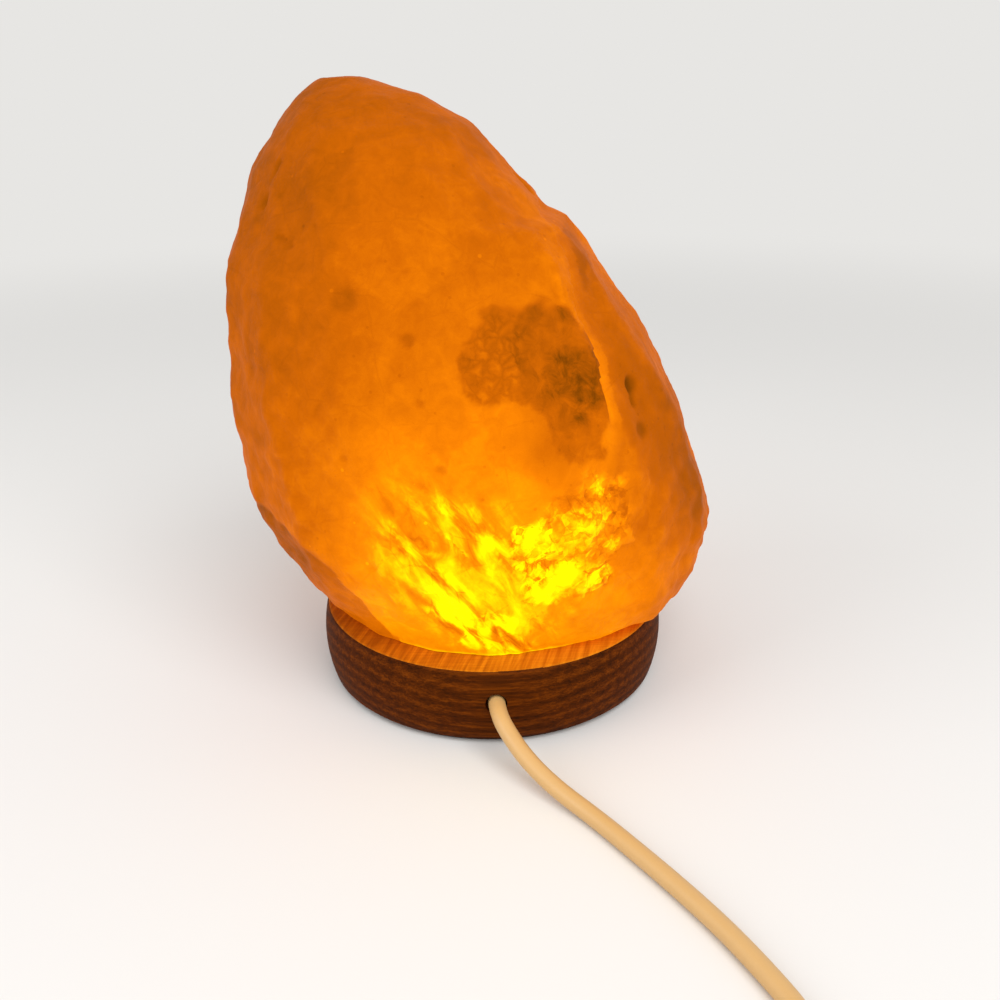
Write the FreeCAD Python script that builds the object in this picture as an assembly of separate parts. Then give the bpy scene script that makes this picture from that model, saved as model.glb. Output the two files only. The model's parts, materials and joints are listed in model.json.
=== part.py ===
import FreeCAD, Part
import math
import os

# Salt crystal lamp: a hewn block of rock salt, hollowed from below, stands over a small screw-in
# bulb on a turned wooden base. A two-core cord leaves the base through a drilled hole and carries
# an in-line rocker switch and a flat two-pin plug.
# Millimetres. The origin is the centre of the pad's underside, +Z is up, and the cord leaves
# towards -Y.

V = FreeCAD.Vector
UP = V(0, 0, 1)

# ---- driving dimensions ---------------------------------------------------------------------

running_gap = 0.08          # radial gap of a part that turns in another
loose_gap = 0.3             # gap between parts that move past each other
fit_gap = 0.05              # radial gap of a fixed shank or spigot in its hole

# wooden base and its pad
base_width = 115.0          # widest, at mid height
base_top_width = 112.6      # flat top and its rounded edge
base_foot_width = 111.2
base_height = 26.0          # from the table, pad and all
base_edge_radius = 1.2
base_foot_chamfer = 0.8
pad_width = 106.0
pad_thickness = 1.5
wiring_bore_width = 27.0
cord_hole_width = 6.6
cord_hole_height = 15.5

# steel plate that carries the lampholder
plate_width = 42.0
plate_thickness = 1.2
plate_sink = 1.4            # depth of its seat in the base
plate_screw_circle = 34.0
plate_screw_shank = 2.8
plate_screw_head = 6.0
plate_screw_head_height = 1.8
plate_screw_length = 12.0
nipple_width = 9.8
nipple_bore = 7.0
nipple_length = 11.0
nipple_below_nut = 0.5
nut_across_flats = 14.0
nut_height = 3.0

# lampholder
holder_width = 28.0
holder_wall = 1.5
holder_cap_height = 18.2
holder_cap_foot_width = 17.0
holder_cap_floor = 5.6
sleeve_height = 17.0
block_width = 22.4
block_height = 7.0
block_rise = 2.2            # how far the block stands into the sleeve
terminal_spacing = 15.0
terminal_head = 4.2
terminal_head_height = 1.6
terminal_shank = 2.6
contact_thickness = 0.5
contact_width = 4.0
shell_wall = 0.35
shell_height = 14.2
shell_turns = 3
lock_screw_width = 3.0
lock_screw_length = 4.6
lock_screw_rise = 3.0

# bulb
thread_width = 13.9
thread_depth = 0.8
thread_pitch = 2.82
thread_turns = 5
bulb_length = 57.0
bulb_width = 25.0
bulb_neck_width = 15.4
bulb_cap_rim_width = 16.6
bulb_cap_wall = 0.3
bulb_cap_length = 18.0
bulb_tip_width = 4.6
bulb_tip_height = 1.3
bulb_insulator_height = 3.2
bulb_glass_wall = 0.7
contact_gap = 0.4           # between the bulb's tip and the spring tongue below it
stem_width = 5.0
stem_height = 14.0
lead_wire_width = 0.6
filament_width = 0.5
filament_span = 13.0
filament_rise = 25.0        # height of the filament above the glass's foot

# salt crystal: the hollow, and level sections through the hewn outside, each as
# (height over the foot, left, right, front, back)
hollow_width = 46.0
hollow_depth = 88.0
hollow_dome = 5.0
crystal_corners = 16
crystal_sections = (
    (0.0, -49.5, 49.5, -48.0, 47.0),
    (5.0, -56.0, 63.5, -50.5, 52.0),
    (14.0, -65.0, 70.5, -54.5, 57.0),
    (27.0, -74.0, 73.0, -58.5, 61.0),
    (45.0, -79.0, 69.5, -60.5, 64.0),
    (67.0, -81.5, 62.0, -60.0, 65.5),
    (88.0, -81.5, 50.5, -56.0, 64.5),
    (108.0, -79.5, 35.5, -48.5, 61.0),
    (124.0, -75.0, 23.5, -40.5, 55.5),
    (138.0, -69.5, 8.0, -30.5, 48.0),
    (150.0, -62.0, -4.5, -20.0, 38.5),
    (158.5, -55.0, -18.5, -8.0, 27.0),
    (163.5, -47.5, -34.5, 2.0, 17.0),
)

# cord
cord_width = 5.2
core_width = 2.2
cord_lead_route = (
    (0.0, -51.0, 15.5),
    (0.0, -61.0, 15.5),
    (4.0, -69.0, 11.4),
    (9.6, -76.6, 7.4),
    (16.8, -84.2, 4.2),
    (25.6, -93.6, 2.6),
    (34.8, -107.2, 2.6),
    (44.2, -121.8, 2.6),
    (52.2, -135.4, 2.6),
    (59.0, -149.6, 2.6),
    (63.4, -160.6, 2.6),
    (63.2, -173.5, 3.0),
    (58.2, -185.7, 4.4),
    (48.9, -195.0, 6.4),
    (36.8, -200.0, 8.3),
    (24.0, -200.0, 8.3),
)
cord_link_route = (
    (-38.0, -200.0, 8.3),
    (-51.0, -200.0, 8.3),
    (-62.7, -204.9, 6.8),
    (-71.7, -213.9, 4.9),
    (-76.6, -225.6, 3.3),
    (-76.4, -239.6, 2.6),
    (-76.4, -252.2, 2.6),
)
coil_turns = 7.25
coil_middle_width = 62.0
coil_pitch = 5.7
coil_layer_rise = 5.7

# in-line switch
switch_centre = (-7.0, -200.0)
switch_length = 62.0
switch_width = 24.0
switch_nose_width = 12.0
switch_height = 16.6
switch_wall = 1.8
switch_edge_radius = 2.0
rocker_reach = 10.0         # from the pivot to the rocker's rounded ends
rocker_width = 11.0
rocker_pivot_height = 12.8
rocker_tilt = 8.0           # degrees each side of level
rocker_pin = 2.4
rocker_pin_length = 1.7
rocker_underside = 1.5      # how far its flat underside lies below the pivot
rocker_cam = 3.4            # how far the cam under its middle reaches below the pivot
rocker_contact_depth = 2.8  # how far the button of its contact reaches below the pivot
rocker_contact_reach = 6.8  # from the pivot to the middle of that button
rocker_button = 3.0
switch_screw_spacing = 36.0
switch_screw_offset = 4.4   # each to its own side of the cord's line
switch_bed_width = 9.0

# plug
plug_length = 33.0
plug_width = 35.0
plug_tail_width = 13.0
plug_thickness = 13.8
plug_edge_radius = 2.4
pin_width = 4.0
pin_length = 19.0
pin_spacing = 18.6
pin_sleeve_length = 10.0
relief_length = 20.0
relief_width = 8.4
relief_tip_width = 6.4
tail_length = 34.0

# ---- heights worked out from them -------------------------------------------------------------

plate_seat = base_height - plate_sink
plate_top = plate_seat + plate_thickness
nipple_foot = plate_seat - nut_height - nipple_below_nut
cap_top = plate_top + holder_cap_height
sleeve_top = cap_top + sleeve_height
block_top = cap_top + block_rise
block_foot = block_top - block_height
bulb_foot = block_top + contact_thickness + 1.0
bulb_top = bulb_foot + bulb_length
hollow_top = base_height + hollow_depth
coil_low = cord_width / 2
coil_high = coil_low + coil_layer_rise
switch_cord_height = switch_height / 2


# ---- helpers ----------------------------------------------------------------------------------

def wire_of(start, *steps):
    """A closed outline in the XZ plane: a step is an end point, or (point on an arc, end point)."""
    here = start
    edges = []
    for step in steps + (start,):
        if isinstance(step[0], tuple):
            middle, end = step
            arc = Part.Arc(V(here[0], 0, here[1]), V(middle[0], 0, middle[1]), V(end[0], 0, end[1]))
            edges.append(arc.toShape())
            here = end
        elif math.dist(here, step) > 1e-6:
            edges.append(Part.LineSegment(V(here[0], 0, here[1]), V(step[0], 0, step[1])).toShape())
            here = step
    return Part.Wire(edges)


def turned(start, *steps):
    """A solid of revolution about Z from an outline of (radius, height) points."""
    return Part.Face(wire_of(start, *steps)).revolve(V(0, 0, 0), UP, 360)


def rod(width, low, high, x=0.0, y=0.0):
    return Part.makeCylinder(width / 2, high - low, V(x, y, low))


def ring(width, bore, low, high, x=0.0, y=0.0):
    return rod(width, low, high, x, y).cut(rod(bore, low - 1, high + 1, x, y))


def rod_along(width, start, end):
    line = end - start
    return Part.makeCylinder(width / 2, line.Length, start, line)


def block(low, high):
    size = V(*high) - V(*low)
    return Part.makeBox(size.x, size.y, size.z, V(*low))


def strip(points, thickness, width, middle_y=0.0):
    """A bent metal strip: a line of (x, z) points with a thickness to its left, square bends."""
    left = []
    for i, point in enumerate(points):
        before = points[max(i - 1, 0)]
        after = points[min(i + 1, len(points) - 1)]
        normals = []
        for a, b in ((before, point), (point, after)):
            run = math.dist(a, b)
            if run > 1e-9:
                normals.append(((a[1] - b[1]) / run, (b[0] - a[0]) / run))
        n = (sum(m[0] for m in normals), sum(m[1] for m in normals))
        scale = thickness * 2 / (n[0] ** 2 + n[1] ** 2) if len(normals) == 2 else thickness
        left.append((point[0] + n[0] * scale, point[1] + n[1] * scale))
    outline = list(points) + left[::-1]
    face = Part.Face(Part.makePolygon([V(x, middle_y - width / 2, z) for x, z in outline + outline[:1]]))
    return face.extrude(V(0, width, 0))


def rounded_outline(corners):
    """A closed outline in the XY plane of (x, y, radius) corners, each rounded by its radius."""
    edges = []
    arcs = []
    for i, (x, y, radius) in enumerate(corners):
        here = V(x, y, 0)
        back = V(*corners[i - 1][:2], 0) - here
        ahead = V(*corners[(i + 1) % len(corners)][:2], 0) - here
        back.normalize()
        ahead.normalize()
        half = back.getAngle(ahead) / 2
        reach = radius / math.tan(half)
        inward = back + ahead
        inward.normalize()
        middle = here + inward * (radius / math.sin(half) - radius)
        arcs.append((here + back * reach, middle, here + ahead * reach))
    for i, (start, middle, end) in enumerate(arcs):
        edges.append(Part.Arc(start, middle, end).toShape())
        following = arcs[(i + 1) % len(arcs)][0]
        if (following - end).Length > 1e-6:
            edges.append(Part.LineSegment(end, following).toShape())
    return Part.Wire(edges)


def slab(corners, low, high):
    face = Part.Face(rounded_outline(corners))
    face.translate(V(0, 0, low))
    return face.extrude(V(0, 0, high - low))


def mirrored_corners(half):
    """All four quarters of an outline from the corners with x and y above 0, first on the right."""
    right = list(half)
    left = [(-x, y, r) for x, y, r in reversed(half)]
    upper = left + right
    return upper + [(x, -y, r) for x, y, r in reversed(upper)]


def level_edges(solid, height):
    """The edges that lie wholly at one height."""
    return [e for e in solid.Edges
            if abs(e.BoundBox.ZMin - height) < 1e-4 and abs(e.BoundBox.ZMax - height) < 1e-4]


def route_of(points, name=None):
    """Straight runs joined by tangent arcs as large as the shorter run beside each point allows."""
    stops = [V(*p) for p in points]
    edges = []
    radii = []
    here = stops[0]
    for before, corner, after in zip(stops, stops[1:], stops[2:]):
        back = before - corner
        ahead = after - corner
        reach = 0.45 * min(back.Length, ahead.Length)
        back.normalize()
        ahead.normalize()
        half = back.getAngle(ahead) / 2
        radius = reach * math.tan(half)
        inward = back + ahead
        inward.normalize()
        start = corner + back * reach
        end = corner + ahead * reach
        middle = corner + inward * (radius / math.sin(half) - radius)
        edges.append(Part.LineSegment(here, start).toShape())
        edges.append(Part.Arc(start, middle, end).toShape())
        radii.append(radius)
        here = end
    edges.append(Part.LineSegment(here, stops[-1]).toShape())
    path = Part.Wire(edges)
    if name:
        print(f"{name}: {path.Length:.1f} mm long, radii {[round(r, 1) for r in radii]}")
    return path


def tube_along(path, width, name=None):
    """A round solid swept along a path, checked against its section times its length."""
    first = path.Edges[0]
    start = first.valueAt(first.FirstParameter)
    along = first.tangentAt(first.FirstParameter)
    if first.Orientation == "Reversed":
        start = first.valueAt(first.LastParameter)
        along = -first.tangentAt(first.LastParameter)
    circle = Part.Wire([Part.Circle(start, along, width / 2).toShape()])
    solid = path.makePipeShell([circle], True, False)
    if name:
        ideal = math.pi * width ** 2 / 4 * path.Length
        print(f"{name}: volume {solid.Volume:.0f}, section times length {ideal:.0f}")
    return solid


# ---- base -------------------------------------------------------------------------------------

def wooden_base():
    top = base_height
    foot = pad_thickness
    top_radius = base_top_width / 2
    edge = base_edge_radius
    slope = edge * (1 - math.sqrt(0.5))
    body = turned(
        (0, foot),
        (base_foot_width / 2 - base_foot_chamfer, foot),
        (base_foot_width / 2, foot + base_foot_chamfer),
        ((base_width / 2, (foot + top) / 2), (top_radius, top - edge)),
        ((top_radius - slope, top - slope), (top_radius - edge, top)),
        (0, top),
    )
    body = body.cut(rod(wiring_bore_width, foot - 1, top))
    body = body.cut(rod(plate_width + 2 * loose_gap, plate_seat, top + 1))
    hole = rod_along(cord_hole_width, V(0, 0, cord_hole_height), V(0, -base_width, cord_hole_height))
    body = body.cut(hole)
    for side in (-1, 1):
        x = side * plate_screw_circle / 2
        depth = plate_seat - (plate_screw_length - plate_thickness) - 0.5
        body = body.cut(rod(plate_screw_shank + 2 * fit_gap, depth, plate_seat + 1, x))
    return body


def base_pad():
    return rod(pad_width, 0, pad_thickness)


def mounting_plate():
    plate = ring(plate_width, nipple_width + 2 * fit_gap, plate_seat, plate_top)
    for side in (-1, 1):
        plate = plate.cut(rod(plate_screw_shank + 0.6, plate_seat - 1, plate_top + 1,
                              side * plate_screw_circle / 2))
    rim = level_edges(plate, plate_top)
    outer = [e for e in rim if abs(e.Curve.Radius - plate_width / 2) < 1e-3]
    return plate.makeChamfer(0.3, outer)


def plate_screws():
    """Two pan-head wood screws with pointed ends and a crossed slot."""
    tip = plate_top - plate_screw_length
    head = plate_screw_head / 2
    shank = plate_screw_shank / 2
    rise = plate_screw_head_height
    screws = []
    for side in (-1, 1):
        screw = turned(
            (0, tip), (shank, tip + 2.4), (shank, plate_top), (head, plate_top),
            (head, plate_top + 0.4 * rise),
            ((0.72 * head, plate_top + 0.86 * rise), (0, plate_top + rise)),
        )
        for a, b in ((1.7, 0.35), (0.35, 1.7)):
            screw = screw.cut(block((-a, -b, plate_top + 0.45 * rise), (a, b, plate_top + 3)))
        screw.translate(V(side * plate_screw_circle / 2, 0, 0))
        screws.append(screw)
    return Part.makeCompound(screws)


def nipple():
    return ring(nipple_width, nipple_bore, nipple_foot, nipple_foot + nipple_length)


def hexagon(across_flats, low, high):
    corner = across_flats / math.sqrt(3)
    points = [V(corner * math.cos(math.radians(60 * k)), corner * math.sin(math.radians(60 * k)), low)
              for k in range(7)]
    return Part.Face(Part.makePolygon(points)).extrude(V(0, 0, high - low))


def nipple_nut():
    nut = hexagon(nut_across_flats, plate_seat - nut_height, plate_seat)
    corner = nut_across_flats / math.sqrt(3)
    dome = turned(
        (0, plate_seat - nut_height), (corner - 0.9, plate_seat - nut_height),
        (corner, plate_seat - nut_height + 0.6), (corner, plate_seat), (0, plate_seat),
    )
    return nut.common(dome).cut(rod(nipple_width + 2 * fit_gap, 0, plate_seat + 1))


# ---- lampholder -------------------------------------------------------------------------------

def holder_cap():
    outer = holder_width / 2 - 0.6
    inner = outer - holder_wall
    foot = holder_cap_foot_width / 2
    bore = nipple_width / 2 + fit_gap
    floor = plate_top + holder_cap_floor
    cap = turned(
        (bore, plate_top), (foot, plate_top),
        ((outer - 1.3, plate_top + 3.4), (outer, plate_top + 9.0)),
        (outer, cap_top), (inner, cap_top), (inner, floor + 3.6),
        ((inner - 1.1, floor + 1.1), (inner - 3.6, floor)),
        (bore, floor),
    )
    hole = rod_along(lock_screw_width + 2 * fit_gap, V(0, 0, plate_top + lock_screw_rise),
                     V(0, 20, plate_top + lock_screw_rise))
    return cap.cut(hole)


def cap_lock_screw():
    """Headless screw that stops the holder from turning on its nipple."""
    height = plate_top + lock_screw_rise
    start = nipple_width / 2 + fit_gap
    screw = rod_along(lock_screw_width, V(0, start, height), V(0, start + lock_screw_length, height))
    slot = block((-2, start + lock_screw_length - 0.9, height - 0.3), (2, start + 9, height + 0.3))
    return screw.cut(slot)


def shell_radii():
    """Inside radii of the screw shell at its wide and narrow rings."""
    wide = thread_width / 2 + running_gap
    return wide, wide - thread_depth


def holder_sleeve():
    outer = holder_width / 2
    inner = shell_radii()[0] + shell_wall + 0.4
    seat = block_width / 2 + 0.15
    sleeve = turned(
        (seat, cap_top), (outer, cap_top), (outer, sleeve_top - 1.2),
        ((outer - 0.35, sleeve_top - 0.35), (outer - 1.2, sleeve_top)),
        (inner, sleeve_top), (inner, block_top + 0.3), (seat, block_top + 0.3),
    )
    for k in range(24):
        angle = math.radians(15 * k)
        rib = rod(1.0, cap_top - 1, cap_top + 9.0, (outer + 0.22) * math.cos(angle),
                  (outer + 0.22) * math.sin(angle))
        sleeve = sleeve.cut(rib)
    return sleeve


def terminal_block():
    body = turned(
        (0, block_foot), (block_width / 2, block_foot), (block_width / 2, block_top), (0, block_top),
    )
    for side in (-1, 1):
        x = side * terminal_spacing / 2
        body = body.cut(rod(terminal_shank + 2 * fit_gap, block_foot - 1, block_foot + 4.4, x))
        low_x, high_x = sorted((side * 4.3, side * 5.1))
        body = body.cut(block((low_x, -contact_width / 2 - 0.1, block_foot - 1),
                              (high_x, contact_width / 2 + 0.1, block_top + 1)))
    return body


def threaded_ring_outline(wide, narrow, low, turns, pitch):
    """Wide and narrow rings of a screw form, from its low end up, as (radius, height) points."""
    points = []
    for k in range(turns):
        z = low + k * pitch
        points += [(narrow, z), (narrow, z + 0.18 * pitch), (wide, z + 0.45 * pitch),
                   (wide, z + 0.73 * pitch)]
    points.append((narrow, low + turns * pitch))
    return points


def screw_shell():
    """Brass shell in the holder, rolled in rings that the bulb's cap turns in, with its terminal."""
    wide, narrow = shell_radii()
    low = block_top
    rings = threaded_ring_outline(wide, narrow, thread_foot() - thread_pitch, shell_turns, thread_pitch)
    inside = [*rings, (wide, rings[-1][1] + 0.27 * thread_pitch), (wide, low + shell_height)]
    outside = [(r + shell_wall, z) for r, z in inside]
    shell = turned(
        (narrow - 2.4, low), (narrow + shell_wall, low), *outside, *inside[::-1],
        (narrow, low + shell_wall), (narrow - 2.4, low + shell_wall),
    )
    shell = shell.cut(block((-narrow + 0.3, -2.6, low - 1), (-3.0, 2.6, low + 0.6)))
    leg = strip(
        ((terminal_spacing / 2 + 2.2, block_foot), (4.95, block_foot), (4.95, low + 0.2)),
        contact_thickness, contact_width,
    )
    leg = leg.cut(rod(terminal_shank + 0.4, block_foot - 2, block_foot + 2, terminal_spacing / 2))
    return shell.fuse(leg).removeSplitter()


def centre_contact():
    """Sprung tongue under the bulb's tip, with its terminal on the block's underside."""
    tongue_top = bulb_foot - contact_gap - contact_thickness
    points = (
        (-terminal_spacing / 2 - 2.2, block_foot - contact_thickness),
        (-4.95, block_foot - contact_thickness),
        (-4.95, block_top + 0.1),
        (-0.9, tongue_top),
        (1.6, tongue_top),
        (2.6, tongue_top - 0.5),
    )
    tongue = strip(points[2:], contact_thickness, 2.4)
    leg = block((-4.95, -contact_width / 2, block_foot - contact_thickness),
                (-4.95 + contact_thickness, contact_width / 2, block_top + 0.2))
    foot = block((-terminal_spacing / 2 - 2.2, -contact_width / 2, block_foot - contact_thickness),
                 (-4.95, contact_width / 2, block_foot))
    foot = foot.cut(rod(terminal_shank + 0.4, block_foot - 2, block_foot + 2, -terminal_spacing / 2))
    return foot.fuse([leg, tongue]).removeSplitter()


def terminal_screws():
    screws = []
    seat = block_foot - contact_thickness
    for side in (-1, 1):
        x = side * terminal_spacing / 2
        head = rod(terminal_head, seat - terminal_head_height, seat, x)
        head = head.cut(block((x - 3, -0.35, seat - 3), (x + 3, 0.35, seat - 0.9)))
        screws.append(head.fuse(rod(terminal_shank, seat, block_foot + 4.0, x)))
    return Part.makeCompound(screws)


# ---- bulb -------------------------------------------------------------------------------------

def bulb_cap():
    wide = thread_width / 2
    narrow = wide - thread_depth
    low = cap_foot()
    rim = bulb_cap_rim_width / 2
    top = low + bulb_cap_length
    rings = threaded_ring_outline(wide, narrow, thread_foot(), thread_turns, thread_pitch)
    outside = [(narrow - 0.9, low), *rings, (narrow, top - 2.4), (rim, top - 1.6), (rim, top)]
    inside = [(r - bulb_cap_wall, z) for r, z in outside]
    return turned(*outside, *inside[::-1])


def cap_foot():
    return bulb_foot + bulb_tip_height + bulb_insulator_height - 1.6


def thread_foot():
    """Where the cap's first ring starts; the holder's rings line up with them."""
    return cap_foot() + 1.4


def bulb_insulator():
    """Black glass button between the cap and its tip."""
    low = bulb_foot + bulb_tip_height - 0.3
    high = cap_foot() + 1.4
    outer = thread_width / 2 - thread_depth - 0.9 - bulb_cap_wall
    return turned(
        (0, low), (bulb_tip_width / 2 - 0.2, low), (outer - 0.6, low + 1.1), (outer, cap_foot()),
        (outer, high), (0, high),
    )


def bulb_tip():
    """Solder button at the bulb's foot, domed."""
    radius = bulb_tip_width / 2
    seat = bulb_foot + bulb_tip_height - 0.3
    return turned(
        (0, bulb_foot), ((0.72 * radius, bulb_foot + 0.28), (radius, seat)), (0, seat),
    )


def glass_outline(inset, foot):
    """Outside of the bulb's glass, or its inside when inset by the wall, as turned() steps."""
    neck = bulb_neck_width / 2 - inset
    wide = bulb_width / 2 - inset
    top = bulb_top - inset
    widest = bulb_top - bulb_width / 2
    shoulder = foot + 0.45 * (widest - foot)
    slope = wide * math.sqrt(0.5)
    return (
        (neck, foot), (neck, foot + 3.0),
        (((neck + wide) / 2 - 0.3, shoulder), (wide, widest)),
        ((slope, widest + slope), (0, top)),
    )


def glass_foot():
    return cap_foot() + bulb_cap_length - 1.3


def bulb_glass():
    foot = glass_foot()
    outside = turned((0, foot), *glass_outline(0, foot))
    inside = turned((0, foot - 1), *glass_outline(bulb_glass_wall, foot - 1))
    return outside.cut(inside)


def bulb_stem():
    """Glass stem inside: a flare sealed to the neck and a pinched post that holds the wires."""
    foot = glass_foot()
    flare = bulb_neck_width / 2 - bulb_glass_wall
    post = stem_width / 2
    return turned(
        (flare - 0.8, foot), (flare, foot), (flare, foot + 0.9),
        ((post + 1.5, foot + 2.6), (post, foot + 6.0)),
        (post, foot + stem_height), (0, foot + stem_height), (0, foot + 6.0), (post - 1.0, foot + 5.0),
    )


def filament_height():
    return glass_foot() + filament_rise


def lead_wires():
    """Two stiff wires from the stem to the filament's ends."""
    wires = []
    low = glass_foot() + stem_height
    for side in (-1, 1):
        route = (
            (side * 1.4, 0, low), (side * 1.4, 0, low + 2.4),
            (side * 4.4, 0, low + 6.4), (side * filament_span / 2, 0, filament_height()),
        )
        wires.append(tube_along(route_of(route), lead_wire_width))
    return Part.makeCompound(wires)


def support_wire():
    low = glass_foot() + stem_height
    return rod(0.4, low, filament_height() - filament_width / 2 - 0.3)


def filament():
    """Coiled tungsten, drawn as one fine wire that dips between its ends."""
    high = filament_height() + lead_wire_width / 2 + filament_width / 2
    half = filament_span / 2
    route = ((-half, 0, high), (-half / 2, 1.6, high - 0.1), (0, 2.0, high + 0.1),
             (half / 2, 1.6, high - 0.1), (half, 0, high))
    return tube_along(route_of(route), filament_width)


# ---- salt crystal -----------------------------------------------------------------------------

def hewn(level, corner):
    """How far a corner stands out of or into the smooth section: knocks left by the hewing."""
    return (1.002 + 0.013 * math.sin(2.3 * corner + 0.9 * level)
            + 0.009 * math.sin(5.1 * corner - 1.7 * level))


def crystal_outline(level):
    """One level section: a many-cornered closed line inside its left, right, front and back."""
    height, left, right, front, back = crystal_sections[level]
    points = []
    for corner in range(crystal_corners):
        angle = 2 * math.pi * (corner + 0.12 * math.sin(1.9 * level)) / crystal_corners
        x = (right + left) / 2 + (right - left) / 2 * math.cos(angle) * hewn(level, corner)
        y = (back + front) / 2 + (back - front) / 2 * math.sin(angle) * hewn(level, corner)
        points.append(V(x, y, base_height + height))
    return Part.makePolygon(points + points[:1])


def salt_crystal():
    body = Part.makeLoft([crystal_outline(k) for k in range(len(crystal_sections))], True, True)
    radius = hollow_width / 2
    sphere = (radius ** 2 + hollow_dome ** 2) / (2 * hollow_dome)
    halfway = math.asin(radius / sphere) / 2
    hollow = turned(
        (0, base_height - 1), (radius, base_height - 1), (radius, hollow_top - hollow_dome),
        ((sphere * math.sin(halfway), hollow_top - sphere * (1 - math.cos(halfway))),
         (0, hollow_top)),
    )
    return body.cut(hollow)


# ---- cord -------------------------------------------------------------------------------------

def cord_inner():
    """From the drilled hole, round a tight bend in the wiring bore and up through the nipple."""
    lead_start = V(*cord_lead_route[0])
    bend = nipple_foot - cord_hole_height
    top = plate_top + holder_cap_floor + 1.6
    edges = [
        Part.LineSegment(lead_start, V(0, -bend, cord_hole_height)).toShape(),
        Part.Arc(
            V(0, -bend, cord_hole_height),
            V(0, -bend * (1 - math.sqrt(0.5)), cord_hole_height + bend * (1 - math.sqrt(0.5))),
            V(0, 0, nipple_foot),
        ).toShape(),
        Part.LineSegment(V(0, 0, nipple_foot), V(0, 0, top)).toShape(),
    ]
    return tube_along(Part.Wire(edges), cord_width, "cord_inner")


def holder_cores():
    """The cord's two cores, spread to the holder's terminals."""
    low = plate_top + holder_cap_floor + 1.6
    high = block_foot - contact_thickness - core_width / 2 - 0.3
    cores = []
    for side in (-1, 1):
        end = side * (terminal_spacing / 2 - terminal_head / 2 - 0.3)
        route = ((side * 1.3, 0, low), (side * 1.3, 0, low + 1.8),
                 (side * 2.2, 0, high - 0.6), (end, 0, high))
        cores.append(tube_along(route_of(route), core_width))
    return Part.makeCompound(cores)


def cord_lead():
    return tube_along(route_of(cord_lead_route, "cord_lead"), cord_width, "cord_lead")


def coil_centre():
    """The coil's middle: the cord comes from the switch along -Y to the outer turn's left side."""
    start = cord_link_route[-1]
    return start[0] + coil_radius(coil_turns / 2), start[1] - cord_width


def coil_radius(turn):
    """Radius a number of turns from where the spiral reverses, the same inwards and outwards."""
    smallest = coil_middle_width / 2 - coil_pitch * coil_turns / 4
    return smallest + coil_pitch * abs(turn)


def coil_height(turn):
    """Bottom layer, top layer, and the half turn between them."""
    if turn <= -0.25:
        return coil_low
    if turn >= 0.25:
        return coil_high
    return (coil_high + coil_low) / 2 + (coil_high - coil_low) / 2 * math.sin(2 * math.pi * turn)


def coil_point(turn):
    centre_x, centre_y = coil_centre()
    angle = 2 * math.pi * (turn + coil_turns / 2) + math.pi
    return V(centre_x + coil_radius(turn) * math.cos(angle),
             centre_y + coil_radius(turn) * math.sin(angle), coil_height(turn))


def coil_heading(turn):
    """Direction along the coil; level and square to the radius at its two ends."""
    step = 1e-4
    if abs(abs(turn) - coil_turns / 2) < 1e-9:
        return V(0, -1, 0) if turn < 0 else V(1, 0, 0)
    ahead = coil_point(turn + step) - coil_point(turn - step)
    return ahead.normalize()


def arc_from(start, heading, end):
    """The arc that leaves start along heading and reaches end."""
    chord = end - start
    side = chord - heading * chord.dot(heading)
    side.normalize()
    radius = chord.dot(chord) / (2 * chord.dot(side))
    centre = start + side * radius
    middle = (start + end) * 0.5 - centre
    middle.normalize()
    return Part.Arc(start, centre + middle * radius, end).toShape()


def biarc(start, heading, end, leaving):
    """Two arcs, tangent to each other, from one point and heading to the next."""
    v = end - start
    both = heading + leaving
    a = 2 * (1 - heading.dot(leaving))
    b = v.dot(both)
    reach = (math.sqrt(b * b + a * v.dot(v)) - b) / a
    joint = (start + end + (heading - leaving) * reach) * 0.5
    first = arc_from(start, heading, joint)
    second = arc_from(end, leaving * -1, joint)
    turned_back = Part.Arc(joint, second.valueAt((second.FirstParameter + second.LastParameter) / 2), end)
    return [first, turned_back.toShape()]


def cord_coil():
    """Put-away length: loops that spiral in on the table and out again on top of those."""
    quarters = round(coil_turns * 4)
    turns = [-coil_turns / 2 + k / 4 for k in range(quarters + 1)]
    points = [coil_point(t) for t in turns]
    headings = [coil_heading(t) for t in turns]
    edges = [Part.LineSegment(points[0] - headings[0] * cord_width, points[0]).toShape()]
    for k in range(quarters):
        edges += biarc(points[k], headings[k], points[k + 1], headings[k + 1])
    edges.append(Part.LineSegment(points[-1], points[-1] + headings[-1] * cord_width).toShape())
    path = Part.Wire(edges)
    print(f"cord_coil: {path.Length:.1f} mm long, {coil_turns} turns, least gap to itself {coil_gap():.2f}")
    return tube_along(path, cord_width, "cord_coil")


def coil_gap():
    """Least distance between the surfaces of turns that lie beside or over each other."""
    steps = 48
    count = round(coil_turns * steps)
    points = [coil_point(-coil_turns / 2 + k / steps) for k in range(count + 1)]
    least = min((points[i] - points[j]).Length
                for i in range(len(points)) for j in range(i + steps // 2, len(points)))
    return least - cord_width


def tail_route():
    """From the end of the coil's upper layer to the plug's cord entry."""
    end = coil_point(coil_turns / 2)
    start_x = end.x + cord_width
    plug_height = plug_thickness / 2
    return (
        (start_x, end.y, coil_high),
        (start_x + 0.33 * tail_length, end.y, coil_high),
        (start_x + 0.67 * tail_length, end.y, plug_height),
        (start_x + tail_length, end.y, plug_height),
    )


def cord_link():
    return tube_along(route_of(cord_link_route, "cord_link"), cord_width, "cord_link")


def cord_tail():
    return tube_along(route_of(tail_route(), "cord_tail"), cord_width, "cord_tail")


# ---- in-line switch ---------------------------------------------------------------------------

def at_switch(shape):
    shape.translate(V(switch_centre[0], switch_centre[1], 0))
    return shape


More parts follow.
